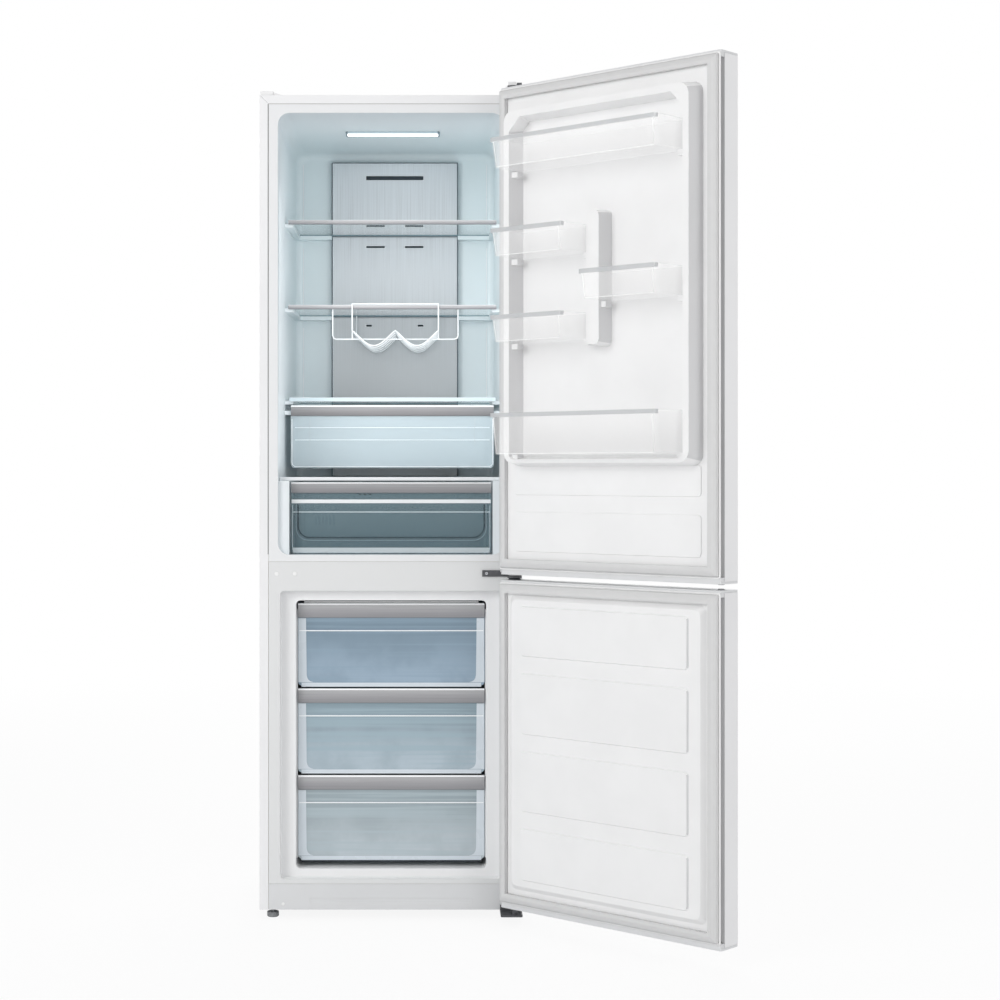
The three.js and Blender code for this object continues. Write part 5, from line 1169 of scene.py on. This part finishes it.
@dataclass
class Cabinet:
    """Outer shell, front frame, base, back and feet."""

    shop: Workshop
    half: float = 297.5
    depth: float = 557.0
    top: float = 1868.0
    seam_plugs: tuple[float, ...] = (-258.8, -217.3)
    seam_plug_z: float = 783.5
    seam_plug: tuple[Pair, ...] = ((5.0, 0.0), (5.0, -0.7), (3.9, -1.4))  # (radius, height)
    base_plug: tuple[Pair, ...] = ((3.6, 0.0), (3.6, -0.6), (2.9, -1.1))
    base_plug_x: float = -244.0
    base_plug_z: float = 34.8
    plug_y: float = 0.5
    seam_x: float = 277.4
    seam_width: float = 1.5
    seam_low: float = 827.0
    seam_high: float = 1848.0
    seam_depth: Pair = (-0.08, 0.3)  # in front of the steel and behind its face
    mitre_start: float = 1.0  # in from the corner, both ways
    mitre_end: float = 19.0
    mitre_width: float = 0.6
    mitre_depth: Pair = (-0.06, 0.3)
    back_screw_inset: float = 9.0
    back_screw_count: int = 9
    cover_screw_count: int = 5
    cover_screw_z: float = 219.5
    back_low: float = 236.0
    back_high: float = 1858.0

    def build(self) -> None:
        """Makes every piece of the cabinet."""
        shop = self.shop
        shop.dress("cabinet_shell", WHITE_STEEL, 0.8, [(self._on_top, TOP_STEEL_PAINTED_SHADE)])
        shop.dress_all(
            ("fridge_liner", FRIDGE_LINER, 1.0), ("freezer_liner", FREEZER_LINER, 1.0),
            ("cabinet_back_panel", ZINC, 0.2), ("base_front_panel", BASE_WHITE, 0.8),
            ("base_plate", ZINC, 0.3), ("machine_cover", ZINC, 0.2),
            ("left_foot", FOOT_GREY, 0.8), ("left_rear_roller", DARK, 1.2),
            ("right_foot", FOOT_GREY, 0.8), ("right_rear_roller", DARK, 1.2),
        )
        shop.coat("insulation_foam", INSULATION)
        self._plugs()
        self._back_screws()
        self._mitres()
        self._seam_shadows()

    def _on_top(self, middle: Vector, normal: Vector) -> bool:
        """Whether a face of the shell lies on its top, which gets a rougher copy of the paint that
        is darker as painted shade.
        """
        return normal.z > 0.9 and middle.z > self.top * MM - 0.002

    def _seam_shadows(self) -> None:
        """Dark strips in the gaps where the fridge's liner meets the folded steel, which are
        painted shadow.
        """
        x, high = self.seam_x, self.seam_high
        gaps = Mould().twins(x, x + self.seam_width, *self.seam_depth, self.seam_low, high)
        gaps.bar(x, *self.seam_depth, high, high + 0.5)
        self.shop.draw(gaps, "liner_seam_shadows", "cabinet", JOINT_AND_GAP_SHADE, 0.0)

    def _plugs(self) -> None:
        """Screw plugs in the seam between the frames and in the base panel."""
        seam = Mould()
        for x in self.seam_plugs:
            seam.turned(self.seam_plug, (x, self.plug_y, self.seam_plug_z), "y", 28)
        self.shop.draw(seam, "frame_screw_plugs", "cabinet", WHITE, 0.3)
        spot = (self.base_plug_x, self.plug_y, self.base_plug_z)
        base = Mould().turned(self.base_plug, spot, "y")
        self.shop.draw(base, "base_screw_plug", "cabinet", WHITE, 0.2)

    def _mitres(self) -> None:
        """Fold lines of the steel at its two upper corners."""
        lines = Mould()
        for side in (-1, 1):
            near, far = side * (self.half - self.mitre_start), side * (self.half - self.mitre_end)
            high, low = self.top - self.mitre_start, self.top - self.mitre_end
            width = side * self.mitre_width
            outline = [(near, high), (near - width, high), (far - width, low), (far, low)]
            lines.slab(outline, *self.mitre_depth)
        self.shop.draw(lines, "shell_mitre_lines", "cabinet", JOINT_AND_GAP_SHADE, 0.0)

    def _back_screws(self) -> None:
        """Flat screws round the back panel and the machine cover."""
        y, inset = self.depth - 0.5, self.half - self.back_screw_inset
        pitch = (self.back_high - self.back_low) / (self.back_screw_count - 1)
        span = 2 * (inset - 16)
        for name, x, low, step, count in (
            ("back_screws_left", -inset, self.back_low, (0.0, 0.0, pitch), self.back_screw_count),
            ("back_screws_right", inset, self.back_low, (0.0, 0.0, pitch), self.back_screw_count),
            ("machine_cover_screws", -span / 2, self.cover_screw_z,
             (span / (self.cover_screw_count - 1), 0.0, 0.0), self.cover_screw_count),
        ):
            self.shop.screw_row(
                name, "cabinet", (x, y, low), step, count, 4.2, 0.5, (-math.pi / 2, 0.0, 0.0),
            )


@dataclass
class Machinery:
    """Compressor, drain pan and the coil and fan behind the freezer's back cover."""

    shop: Workshop
    fin_count: int = 46
    fin_inset: float = 16.0
    tube_radius: float = 4.0
    tube_rows: int = 8
    tube_inset: float = 15.0

    def build(self) -> None:
        """Makes every piece of the machinery."""
        self.shop.dress_all(
            ("compressor", BLACK, 2.2), ("drain_pan", DARK, 1.0), ("evaporator_fan", DARK, 0.5),
            ("freezer_duct_cover", FREEZER_LINER, 0.5),
        )
        self._compressor_tubes()
        self._coil()

    def _compressor_tubes(self) -> None:
        """Copper tubes that leave the compressor and bend upwards."""
        near, far = self.shop.drawn(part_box("compressor"))
        middle = (near + far) / 2
        tubes = Mould()
        for shift, rise, radius in ((-18.0, 26.0, 4.0), (4.0, 14.0, 3.0), (24.0, 34.0, 3.0)):
            y, z = middle.y + shift, middle.z + 4.0
            tubes.tube(smooth_path([
                (far.x - 14.0, y, z), (far.x + 10.0, y, z), (far.x + 24.0, y, z + 8.0),
                (far.x + 28.0, y, z + rise), (far.x + 28.0, y - 6.0, z + rise + 16.0),
            ]), radius, 12)
        self.shop.draw(tubes, "compressor_tubes", "cabinet", COPPER, 0.0)

    def _coil(self) -> None:
        """Thin fins on a serpentine tube."""
        near, far = self.shop.drawn(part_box("evaporator"))
        middle = (near + far) / 2
        left, right, height = near.x + self.fin_inset, far.x - self.fin_inset, far.z - near.z
        self.shop.repeat(
            self.shop.bars, "evaporator_fins", "cabinet", COIL, replaces=["evaporator"],
            Start=(left, middle.y, middle.z),
            Step=((right - left) / (self.fin_count - 1), 0.0, 0.0), Count=self.fin_count,
            Size=(0.5, far.y - near.y - 2.0, height - 2 * self.tube_radius),
        )
        tubes = Mould()
        pitch = (height - 2 * self.tube_inset) / (self.tube_rows - 1)
        points: list[Point] = []
        for row in range(self.tube_rows):
            ends = (left - 4.0, right + 4.0)
            z = near.z + self.tube_inset + row * pitch
            points += [(x, middle.y, z) for x in (reversed(ends) if row % 2 else ends)]
        tubes.tube(smooth_path(points, 4), self.tube_radius, 10)
        self.shop.draw(tubes, "evaporator_tube", "cabinet", COIL, 0.0)


@dataclass
class FridgeRoom:
    """Duct cover, lamp, shelves, wine rack and crispers."""

    shop: Workshop
    duct_half: float = 154.0
    duct_front: float = 413.7
    duct_back: float = 429.7
    duct_top: float = 1779.0
    duct_bottom: float = 1004.3
    seal_width: float = 2.6
    slot_depth: float = 9.6
    slots: tuple[tuple[float, float, float, float], ...] = (
        (-71.0, 71.0, 1738.0, 1748.0),
        (-71.0, -25.0, 1621.5, 1626.5), (25.0, 71.0, 1621.5, 1626.5),
        (-71.0, -25.0, 1569.5, 1574.5), (25.0, 71.0, 1569.5, 1574.5),
        (-71.0, -57.0, 1374.5, 1379.5), (57.0, 71.0, 1374.5, 1379.5),
    )
    highlight_spans: tuple[Pair, ...] = ((1196.0, 1372.0), (1414.0, 1570.0), (1614.0, 1778.0))
    grille_x: float = -197.3  # middle of the first slot
    grille_z: float = 893.0
    highlight_x: float = 228.0
    highlight_y: float = 223.0
    liner_half: float = 256.0
    liner_back: float = 430.0
    rack_centre: float = 7.0
    rack_half: float = 101.0
    rack_frame_half: float = 147.0
    wire: float = 1.7
    rack_front: float = 148.0
    rack_back: float = 396.0
    crest: float = 1345.0
    hang: float = 1407.6
    rail: float = 1325.4
    leg_top: float = 1395.7
    outer_y: float = 155.5
    corner: float = 8.0
    upper_front: float = 149.4  # planes of the lines on both crispers
    lower_front: float = 34.9

    def build(self) -> None:
        """Makes every piece of the fridge compartment."""
        shop = self.shop
        shop.dress("fridge_duct_cover", DUCT, 1.0, edge=DUCT_EDGE_HIGHLIGHT)
        self._duct_details()
        low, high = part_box("light_lens")
        middle = (low + high) / 2
        shop.dress("light_lens", Lamp(
            "lit_lens", "lamp_lens", tint(206, 222, 230), 0.3, middle=(middle.x, middle.y),
            reach=(0.108, 0.013),
        ), 0.6)
        for shelf in ("upper_shelf", "lower_shelf", "crisper_cover"):
            self._pane(f"{shelf}_glass", GLASS_EDGE)
        shop.trim("upper_shelf_trim", tint(186, 186, 188))
        shop.trim("lower_shelf_trim", tint(190, 190, 192))
        shop.dress("crisper_cover_trim", COVER_TRIM, 0.6, edge=RIB_HIGHLIGHT)
        self._back_strips()
        self._corner_highlights()
        self._pane("bay_cover_glass", BAY_EDGE_SHADE)
        shop.dress("bay_cover_trim", BAY_TRIM, 0.6)
        self._wine_rack()
        self._crispers()

    def _pane(self, node: str, edge: Finish) -> None:
        """Dresses a glass plate with darker ground edges."""
        self.shop.dress(node, GLASS, 0.5, [(lambda middle, normal: abs(normal.z) < 0.5, edge)])

    def _back_strips(self) -> None:
        """Thin strips under the back edges of both shelves' glass."""
        for shelf in ("upper_shelf", "lower_shelf"):
            near, far = self.shop.drawn(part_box(f"{shelf}_glass"))
            strip = Mould().bar(
                self.duct_half, far.y - 4.0, far.y - 0.6, near.z - 1.8, near.z - 0.05,
            )
            self.shop.draw(strip, f"{shelf}_back_strip", shelf, OUTLINE, 0.3)

    def _corner_highlights(self) -> None:
        """Thin near-white rods along the liner's back corners and side walls, which are painted
        highlights of its rounded corners.
        """
        highlight_rods = Mould()
        for side in (-1, 1):
            for low, high in self.highlight_spans:
                for x, y, radius in (
                    (self.highlight_x, self.liner_back - 1.0, 1.0),
                    (self.liner_half - 0.9, self.highlight_y, 0.9),
                ):
                    highlight_rods.tube([(side * x, y, low), (side * x, y, high)], radius, 8)
        self.shop.draw(highlight_rods, "liner_corner_highlights", "cabinet", LINER_CORNER_HIGHLIGHT, 0.0)

    def _duct_details(self) -> None:
        """Seals beside the duct cover and dark boxes behind its slots, which are painted shadow."""
        near, over, width = self.duct_half + CLEARANCE, self.duct_top + CLEARANCE, self.seal_width
        depth = (self.duct_front + 2, self.duct_back)
        seals = Mould().twins(near, near + width, *depth, self.duct_bottom, self.duct_top)
        seals.bar(self.duct_half + width, *depth, over, over + width)
        self.shop.draw(seals, "duct_seals", "cabinet", OUTLINE, 0.6)
        slot_shadows = Mould()
        back = self.duct_front + self.slot_depth
        for x0, x1, z0, z1 in self.slots:
            slot_shadows.box(x0 + 0.2, x1 - 0.2, back - 6.0, back, z0 + 0.2, z1 - 0.2)
        self.shop.draw(slot_shadows, "duct_slot_shadows", "cabinet", SHADOW, 0.2)

    def _wine_rack(self) -> None:
        """Round wires: five that dip twice, three straight ones and the frame that hangs."""
        shop = self.shop
        left, right = self.rack_centre - self.rack_half, self.rack_centre + self.rack_half
        pitch = (self.rack_back - self.rack_front) / 4
        shop.repeat(
            shop.waves, "wine_rack_waves", "lower_shelf", WIRE, replaces=["wine_rack"],
            Start=(left, self.rack_front, self.crest), Step=(0.0, pitch, 0.0), Count=5,
            Width=2 * self.rack_half, Sag=35.0, Roundness=1.2, Radius=self.wire,
        )
        front, back, crest, hang = self.rack_front, self.rack_back, self.crest, self.hang
        paths = [[(x, front, crest), (x, back, crest)] for x in (left, self.rack_centre, right)]
        hook = ((0.0, crest), (0.0, hang - 5.0), (1.5, hang - 1.0), (5.0, hang), (20.0, hang))
        for x in (left, right):
            paths.append(smooth_path([(x, front + reach, z) for reach, z in hook], 5))
            paths.append([(x, back, crest), (x, back, self.leg_top + 3.0)])
        paths.append([(left, front, hang), (right, front, hang)])
        start, end = (self.rack_centre + way * self.rack_frame_half for way in (-1, 1))
        y = self.outer_y
        turn = ((0.0, self.corner), (self.corner * 0.3, self.corner * 0.3), (self.corner, 0.0))
        paths.append([
            (start, y, self.leg_top), (start, y, self.rail + self.corner),
            *((start + reach, y, self.rail + rise) for reach, rise in turn),
            *((end - reach, y, self.rail + rise) for reach, rise in reversed(turn)),
            (end, y, self.leg_top),
        ])
        paths += [[(x, y, self.rail), (x, y, crest)] for x in (left, right)]
        rods = Mould()
        for path in paths:
            rods.tube(path, self.wire)
        shop.draw(rods, "wine_rack_frame", "lower_shelf", WIRE, 0.0)

    def _crispers(self) -> None:
        """Both crispers with their moulded ribs and lines, which are lighter than the plastic as
        painted highlights.
        """
        shop = self.shop
        shop.dress("upper_crisper_box", CRISPER, 0.8, edge=RIB_HIGHLIGHT)
        # painted shade: this band gets darker copies of the trim colours
        shop.trim("upper_crisper_band", tint(152, 152, 154), tint(118, 117, 119))
        shop.dress("lower_crisper_box", SMOKED, 0.8)
        shop.trim("lower_crisper_band")
        shop.repeat(
            shop.bars, "upper_crisper_ribs", "upper_crisper", RIB_HIGHLIGHT, bevel=0.3,
            Start=(0.0, 149.75, 1118.0), Step=(0.0, 0.0, -29.0), Count=2, Size=(456.0, 0.5, 2.2),
        )
        front, line = self.lower_front, self.lower_front + 0.5
        upright = [(193.2, 149.7, 1074.0), (193.2, 149.7, 1140.0)]
        mirrored = [(-x, y, z) for x, y, z in upright]
        moulded = {
            "upper_crisper": (
                ("outline", RIB_BRIGHT_HIGHLIGHT, 0.0,
                 Mould().tube(hoop(235.2, 1026.4, 1138.0, 10.0, self.upper_front), 0.9, 8)),
                ("corner_lines", RIB_FAINT_HIGHLIGHT, 0.0,
                 Mould().tube(mirrored, 0.5, 6).tube(upright, 0.5, 6)),
            ),
            "lower_crisper": (
                ("shoulder", RIB_BRIGHT_HIGHLIGHT, 0.5, Mould().bar(227.5, front, 36.0, 942.4, 951.0)),
                ("line", RIB_HIGHLIGHT, 0.2, Mould().bar(226.0, 35.5, 36.0, 921.4, 923.4)),
                ("contour", SMOKED_LINE, 0.0,
                 Mould().tube(hoop(212.5, 864.0, 940.0, 26.0, front, 8), 1.1, 8)),
                ("edge", RIB_GREY_HIGHLIGHT, 0.0,
                 Mould().tube(hoop(217.0, 858.0, 940.0, 28.0, line, 8), 0.6, 8)),
                ("foot", RIB_PALE_HIGHLIGHT, 0.3, Mould().bar(225.0, 35.3, 36.0, 829.0, 841.0)),
                ("outline", RIB_HIGHLIGHT, 0.0,
                 Mould().tube(hoop(225.5, 830.5, 938.0, 10.0, line), 0.6, 8)),
            ),
        }
        for body, lines in moulded.items():
            for name, finish, bevel, mould in lines:
                shop.draw(mould, f"{body}_{name}", body, finish, bevel)
        shop.repeat(
            shop.bars, "crisper_plate_dots", "lower_crisper", DARK, bevel=0.3,
            Start=(-71.0, 35.8, 962.4), Step=(11.5, 0.0, 0.0), Count=3, Size=(4.0, 0.4, 2.6),
        )
        # painted shadow: dark bars on the back wall where the air return grille's slots are
        shop.repeat(
            shop.bars, "air_return_slots", "cabinet", SHADOW,
            Start=(self.grille_x, self.liner_back + 0.8, self.grille_z), Step=(9.0, 0.0, 0.0),
            Count=6, Size=(5.2, 0.5, 19.8),
        )


@dataclass
class FreezerRoom:
    """Three freezer drawers and the pale strips round their opening, which are painted light."""

    shop: Workshop
    half: float = 214.0
    front: float = 50.0
    strip: float = 20.0
    # each drawer's upper and lower colour: painted shade, darker in the higher drawers and towards
    # each drawer's top
    drawers: tuple[tuple[str, float, float, Colour, Colour], ...] = (
        ("upper_freezer_drawer", 524.0, 709.2, tint(126, 148, 164), tint(160, 181, 199)),
        ("middle_freezer_drawer", 325.25, 514.0, tint(142, 162, 172), tint(186, 201, 211)),
        ("lower_freezer_drawer", 127.0, 315.2, tint(158, 172, 178), tint(198, 208, 214)),
    )
    band: float = 29.5
    shoulder: float = 59.0  # of the light line under the top of the plate
    wall: float = 217.0
    ceiling: float = 717.2
    light_strip_depth: Pair = (51.0, 60.0)

    def build(self) -> None:
        """Makes every piece of the freezer compartment."""
        for name, low, high, upper, lower in self.drawers:
            self._drawer(name, low, high, replace(
                DRAWER, name=f"{name}_frosted", colour=upper, cool=lower,
                low=(low + 10.0) * MM, high=(high - self.band) * MM,
            ))
        # painted shadow: a dark strip under the lower drawer's front
        strip = Mould().bar(206.0, 50.4, 53.0, 121.5, 126.8)
        self.shop.draw(strip, "lower_freezer_drawer_shadow_strip", "lower_freezer_drawer", SHADOW, 0.5)
        # painted light: pale strips close the gaps round the drawers, which would show the dark
        # freezer
        depth = self.light_strip_depth
        light_strips = Mould().bar(200.0, *depth, self.ceiling - 2.8, self.ceiling - 0.05)
        light_strips.twins(self.half + 0.8, self.wall - 0.05, *depth, 130.0, 700.0)
        self.shop.draw(light_strips, "freezer_gap_light_strips", "cabinet", CAP, 0.3)

    def _drawer(self, name: str, low: float, high: float, finish: Finish) -> None:
        """Dresses one drawer and adds pale strips at its sides and foot, and a moulded line
        coloured as a painted highlight.

        Args:
            name: The drawer's body.
            low: Underside of its front.
            high: Top of its front plate.
            finish: Of its box.
        """
        shop = self.shop
        shop.dress(f"{name}_box", finish, 0.8)
        shop.trim(f"{name}_band")
        top = high - self.band - 1.0
        curve = ((8.0, 16.0), (10.0, 9.0), (13.0, 4.5), (18.0, 1.5), (25.0, 0.0))
        sides = Mould()
        for side in (-1, 1):
            edge, inner = side * (self.half - 1.0), side * (self.half - self.strip)
            rows = [(low + rise, reach) for rise, reach in curve] + [(top, -1.5)]
            seen = [(inner - side * reach, z) for z, reach in rows]
            sides.slab([(edge, low + 8.0), *seen, (edge, top)], self.front - 0.5, self.front - 0.02)
        shop.draw(sides, f"{name}_sides", name, STRIP, 0.0)
        line = high - self.shoulder
        # painted highlight: the drawer's white line under the top of the plate
        for part, look, mould in (
            ("line", RIB_BRIGHT_HIGHLIGHT, Mould().bar(
                self.half - 3, self.front - 1.0, self.front - 0.52, line - 1.2, line + 1.2,
            )),
            ("foot", STRIP, Mould().bar(
                self.half - 8, self.front - 0.5, self.front - 0.02, low - 2.4, low + 7.0,
            )),
        ):
            shop.draw(mould, f"{name}_{part}", name, look, 0.2)


@dataclass
class Hinges:
    """Hinge plates, covers, cams and screws."""

    shop: Workshop
    pivot: Pair = (278.65, -42.0)
    screw_reach: float = 61.75  # from the pivot
    cam: tuple[Pair, ...] = ((8.5, 781.3), (13.0, 781.3), (14.5, 784.3), (8.5, 784.3))
    stop: tuple[Pair, ...] = ((8.5, 772.3), (14.0, 772.3), (12.5, 776.2), (8.5, 776.2))

    def build(self) -> None:
        """Makes every piece of the hinges."""
        self.shop.dress_all(
            ("top_hinge_bracket", HINGE, 0.5), ("top_hinge_cover", WHITE, 1.2),
            ("spare_hinge_cap", WHITE, 1.2), ("middle_hinge_bracket", HINGE, 0.5),
            ("bottom_hinge_bracket", HINGE, 0.5),
        )
        self._collar("upper_door_cam", "upper_door", self.cam, WHITE)
        self._collar("lower_door_stop", "lower_door", self.stop, DARK)
        self.shop.screw_row(
            "middle_hinge_screw", "cabinet", (self.pivot[0] - self.screw_reach, -5.3, 784.0),
            (0.0, 0.0, 0.0), 1, 3.9, 0.7, (math.pi / 2, 0.0, 0.0),
        )

    def _collar(self, name: str, body: str, ring: Sequence[Pair], finish: Finish) -> None:
        """Draws a collar round the hinge axis on a door, from its section of (radius, height)."""
        rings = [
            [(self.pivot[0] + radius * math.cos(turn), self.pivot[1] + radius * math.sin(turn), z)
             for turn in full_turn(28)]
            for radius, z in ring
        ]
        self.shop.draw(Mould().loft(rings, round_trip=True), name, body, finish, 0.4, on_door=True)


@dataclass
class Door:
    """One door: skin, caps, liner, seal and the bushes of its free end."""

    shop: Workshop
    name: str
    bottom: float
    top: float
    half: float = 297.5
    inner: float = -12.0  # plane of the liner while the door is shut
    liner_low: float = 11.5
    liner_high: float = 4.0
    seal_inset: float = 4.0
    seal_width: float = 20.0
    seal_height: float = 11.6
    lean: float = 11.5
    grip: float = 14.0  # depth of the finger groove and its wall
    free_pivot: Pair = (-278.65, -42.0)
    bush: tuple[Pair, ...] = ((7.0, 0.0), (7.0, 1.6), (6.0, 2.4), (3.4, 2.4), (3.4, 1.0))

    def build(self) -> None:
        """Makes every piece of the door."""
        shop = self.shop
        shop.dress_all(
            (f"{self.name}_skin", WHITE_STEEL, 0.8), (f"{self.name}_top_cap", CAP, 0.6),
            (f"{self.name}_bottom_cap", CAP, 0.6),
        )
        shop.coat(f"{self.name}_foam", INSULATION)
        shop.dress(
            f"{self.name}_liner", DOOR_WHITE, 1.2,
            [(self._in_groove, GRIP_PAINTED_SHADE), (self._on_free_side, RIM_SHADE)],
        )
        self._seal()
        self._bushes()

    def _in_groove(self, middle: Vector, _: Vector) -> bool:
        """Whether a face of the liner lies in the finger groove, which gets painted shade."""
        spot = self.shop.door.inverted() @ middle
        return spot.x < self.grip - self.half and spot.y < self.inner - 2.0

    def _on_free_side(self, middle: Vector, normal: Vector) -> bool:
        """Whether a face of the liner's rim or column looks to the door's free end; these faces get
        painted shade.
        """
        spot = self.shop.door.inverted() @ middle
        facing = self.shop.door.inverted().to_3x3() @ normal
        return spot.y > self.inner + 12.0 and facing.normalized().x < -0.8

    def _seal(self) -> None:
        """The pleated seal, swept round the door."""
        inset, outer = self.seal_inset, self.seal_inset + self.seal_width
        high = self.seal_height
        profile = [
            (inset, 0.3), (inset, 5.2), (inset + 2.4, 6.0), (inset + 2.2, 7.2), (inset + 5.8, 8.0),
            (inset + 6.0, 9.2), (inset + self.lean - 0.6, 10.4), (inset + self.lean, high),
            (outer, high), (outer, 8.6), (outer - 1.6, 7.4), (outer - 1.6, 6.2), (outer, 5.0),
            (outer, 0.3),
        ]
        edge = self.half - 0.5
        bounds = (-edge, edge, self.bottom + self.liner_low, self.top - self.liner_high)
        seal = Mould().frame(profile, bounds, 5.0, self.inner)
        self.shop.draw(
            seal, f"{self.name}_seal", self.name, SEAL, 0.0, on_door=True,
            replaces=[f"{self.name}_gasket"],
        )

    def _bushes(self) -> None:
        """Grey bushes in both end caps at the free end, where a hinge would go."""
        bushes = Mould()
        for z, way in ((self.top, 1), (self.bottom, -1)):
            profile = [(radius, way * height) for radius, height in self.bush]
            bushes.turned(profile, (*self.free_pivot, z))
        self.shop.draw(bushes, f"{self.name}_bushes", self.name, GREY, 0.0, on_door=True)


@dataclass
class Bins:
    """The upper door's five bins."""

    shop: Workshop
    names: tuple[str, ...] = (
        "top", "upper_hinge_side", "free_side", "lower_hinge_side", "bottom",
    )
    rim: float = 9.4
    rim_sheet: float = 1.5
    slant: float = 9.0
    corner: float = 12.0
    highlight_line: float = 0.7

    def build(self) -> None:
        """Makes every bin, with a duller rim and a painted highlight line round its front."""
        for name in self.names:
            node = f"door_bin_{name}"
            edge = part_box(node)[1].z - self.rim * MM
            rim = [(lambda middle, _, edge=edge: middle.z > edge, BIN_RIM)]
            self.shop.dress(node, BIN, 0.9, rim, BIN_EDGE_HIGHLIGHT)
            self._bead(name, node)

    def _bead(self, name: str, node: str) -> None:
        """A painted highlight line down one end of a bin's front, along its foot and up the other
        end.
        """
        shut = self.shop.door.inverted()
        spots = [shut @ vertex.co for vertex in self.shop.nodes[node].data.vertices]
        left, right = (pick(spot.x for spot in spots) for pick in (min, max))
        foot, top = (pick(spot.z for spot in spots) for pick in (min, max))
        front = max(spot.y for spot in spots) - self.rim_sheet
        under = front - self.slant * self.rim / (top - foot)
        left, right, foot = left + self.corner, right - self.corner, foot + 0.9
        low, high = front - self.slant + 0.2, top - self.rim
        path = [
            (left - 2.0, under, high), (left, low, foot), (right, low, foot),
            (right + 2.0, under, high),
        ]
        highlight_line = Mould().tube(path, self.highlight_line, 8)
        self.shop.draw(highlight_line, f"{node}_bead", f"bin_{name}", BIN_EDGE_HIGHLIGHT, 0.0, on_door=True)


# ---------------------------------------------------------------- studio


@dataclass
class Studio:
    """Floor, world, lamps and the camera at the photograph's place."""

    lens: float = 69.57
    shift: Pair = (0.0624, -0.0271)
    eye: Point = (-0.1078, -4.4112, 1.0117)
    floor_size: float = 60.0
    floor_near: float = 2.2
    floor_far: float = 5.5
    sky: float = 0.5

    def build(self) -> None:
        """Makes the whole studio."""
        self._floor()
        self._world()
        aim = (0.0, 0.0, 0.95)
        self._lamp("key_lamp", (-3.5, -3.7, 2.6), aim, (2.6, 2.6), 98.0)
        self._lamp("fill_lamp", (3.4, -3.2, 1.9), aim, (2.8, 2.8), 41.0)
        self._lamp("back_lamp", (0.6, 3.9, 3.0), aim, (3.0, 3.0), 60.0)
        room, front = -0.2139, -0.015
        self._lamp("fridge_room_lamp", (room, front, 1.34), (room, 1.0, 1.32), (0.53, 0.64), 0.9)
        self._lamp("freezer_room_lamp", (room, front, 0.42), (room, 1.0, 0.42), (0.42, 0.6), 0.12)
        self._camera()

    def _floor(self) -> None:
        """A plain pale floor that keeps the shadow and runs into the background."""
        shape = bmesh.new()
        bmesh.ops.create_grid(shape, x_segments=1, y_segments=1, size=self.floor_size / 2)
        mesh = bpy.data.meshes.new("studio_floor")
        shape.to_mesh(mesh)
        shape.free()
        floor = bpy.data.objects.new("studio_floor", mesh)
        bpy.context.scene.collection.objects.link(floor)
        shader = Shader("studio_floor")
        across, along, _ = shader.axes()
        far = shader.step((across * across + along * along) ** 0.5, self.floor_near, self.floor_far)
        camera = Value(shader, shader.node("ShaderNodeLightPath").outputs["Is Camera Ray"])
        paper = shader.principled(Base_Color=tint(247, 247, 248), Roughness=0.8)
        glow = shader.node("ShaderNodeEmission", inputs={0: PURE_WHITE, 1: 1.0})
        both = shader.node("ShaderNodeMixShader", inputs={
            0: camera * (0.9 + far * 0.1), 1: paper, 2: glow.outputs[0],
        })
        mesh.materials.append(shader.show(both.outputs[0]))

    def _world(self) -> None:
        """White where it is seen, softer where it lights."""
        world = bpy.data.worlds.new("studio")
        world.use_nodes = True
        bpy.context.scene.world = world
        graph = Graph(world.node_tree)
        graph.tree.nodes.clear()
        ways = graph.node("ShaderNodeLightPath").outputs
        kinds = ("Camera", "Glossy", "Transmission")
        camera, glossy, through = (Value(graph, ways[f"Is {kind} Ray"]) for kind in kinds)
        strength = (camera + glossy + through) * (1.0 - self.sky) + self.sky
        sky = graph.node("ShaderNodeBackground", inputs={0: PURE_WHITE, 1: strength})
        graph.node("ShaderNodeOutputWorld", inputs={0: sky.outputs[0]})

    def _lamp(self, name: str, place: Point, aim: Point, size: Pair, power: float) -> None:
        """Hangs a soft rectangular lamp.

        Args:
            name: Its name.
            place: Where it hangs.
            aim: Where it looks.
            size: Its width and height.
            power: In watts.
        """
        data = bpy.data.lights.new(name, "AREA")
        data.shape = "RECTANGLE"
        data.size, data.size_y = size
        data.energy = power
        lamp = bpy.data.objects.new(name, data)
        lamp.location = place
        lamp.rotation_euler = (Vector(aim) - Vector(place)).to_track_quat("-Z", "Y").to_euler()
        lamp.visible_camera = False
        bpy.context.scene.collection.objects.link(lamp)

    def _camera(self) -> None:
        """A level camera that looks along +Y."""
        data = bpy.data.cameras.new("camera")
        data.lens = self.lens
        data.sensor_width = 36.0
        data.shift_x, data.shift_y = self.shift
        camera = bpy.data.objects.new("camera", data)
        camera.location = self.eye
        camera.rotation_euler = (math.pi / 2, 0.0, 0.0)
        bpy.context.scene.collection.objects.link(camera)
        bpy.context.scene.camera = camera


def main() -> None:
    """Builds the refrigerator and its studio."""
    logging.basicConfig(level=logging.INFO, format="%(message)s")
    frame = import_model()
    bpy.context.scene.view_settings.view_transform = "Standard"
    Studio().build()
    shop = Workshop(frame)
    Cabinet(shop).build()
    Machinery(shop).build()
    FridgeRoom(shop).build()
    FreezerRoom(shop).build()
    Hinges(shop).build()
    Door(shop, "upper_door", 784.6, 1873.0).build()
    Door(shop, "lower_door", 39.0, 772.0).build()
    Bins(shop).build()


if __name__ == "__main__":
    main()
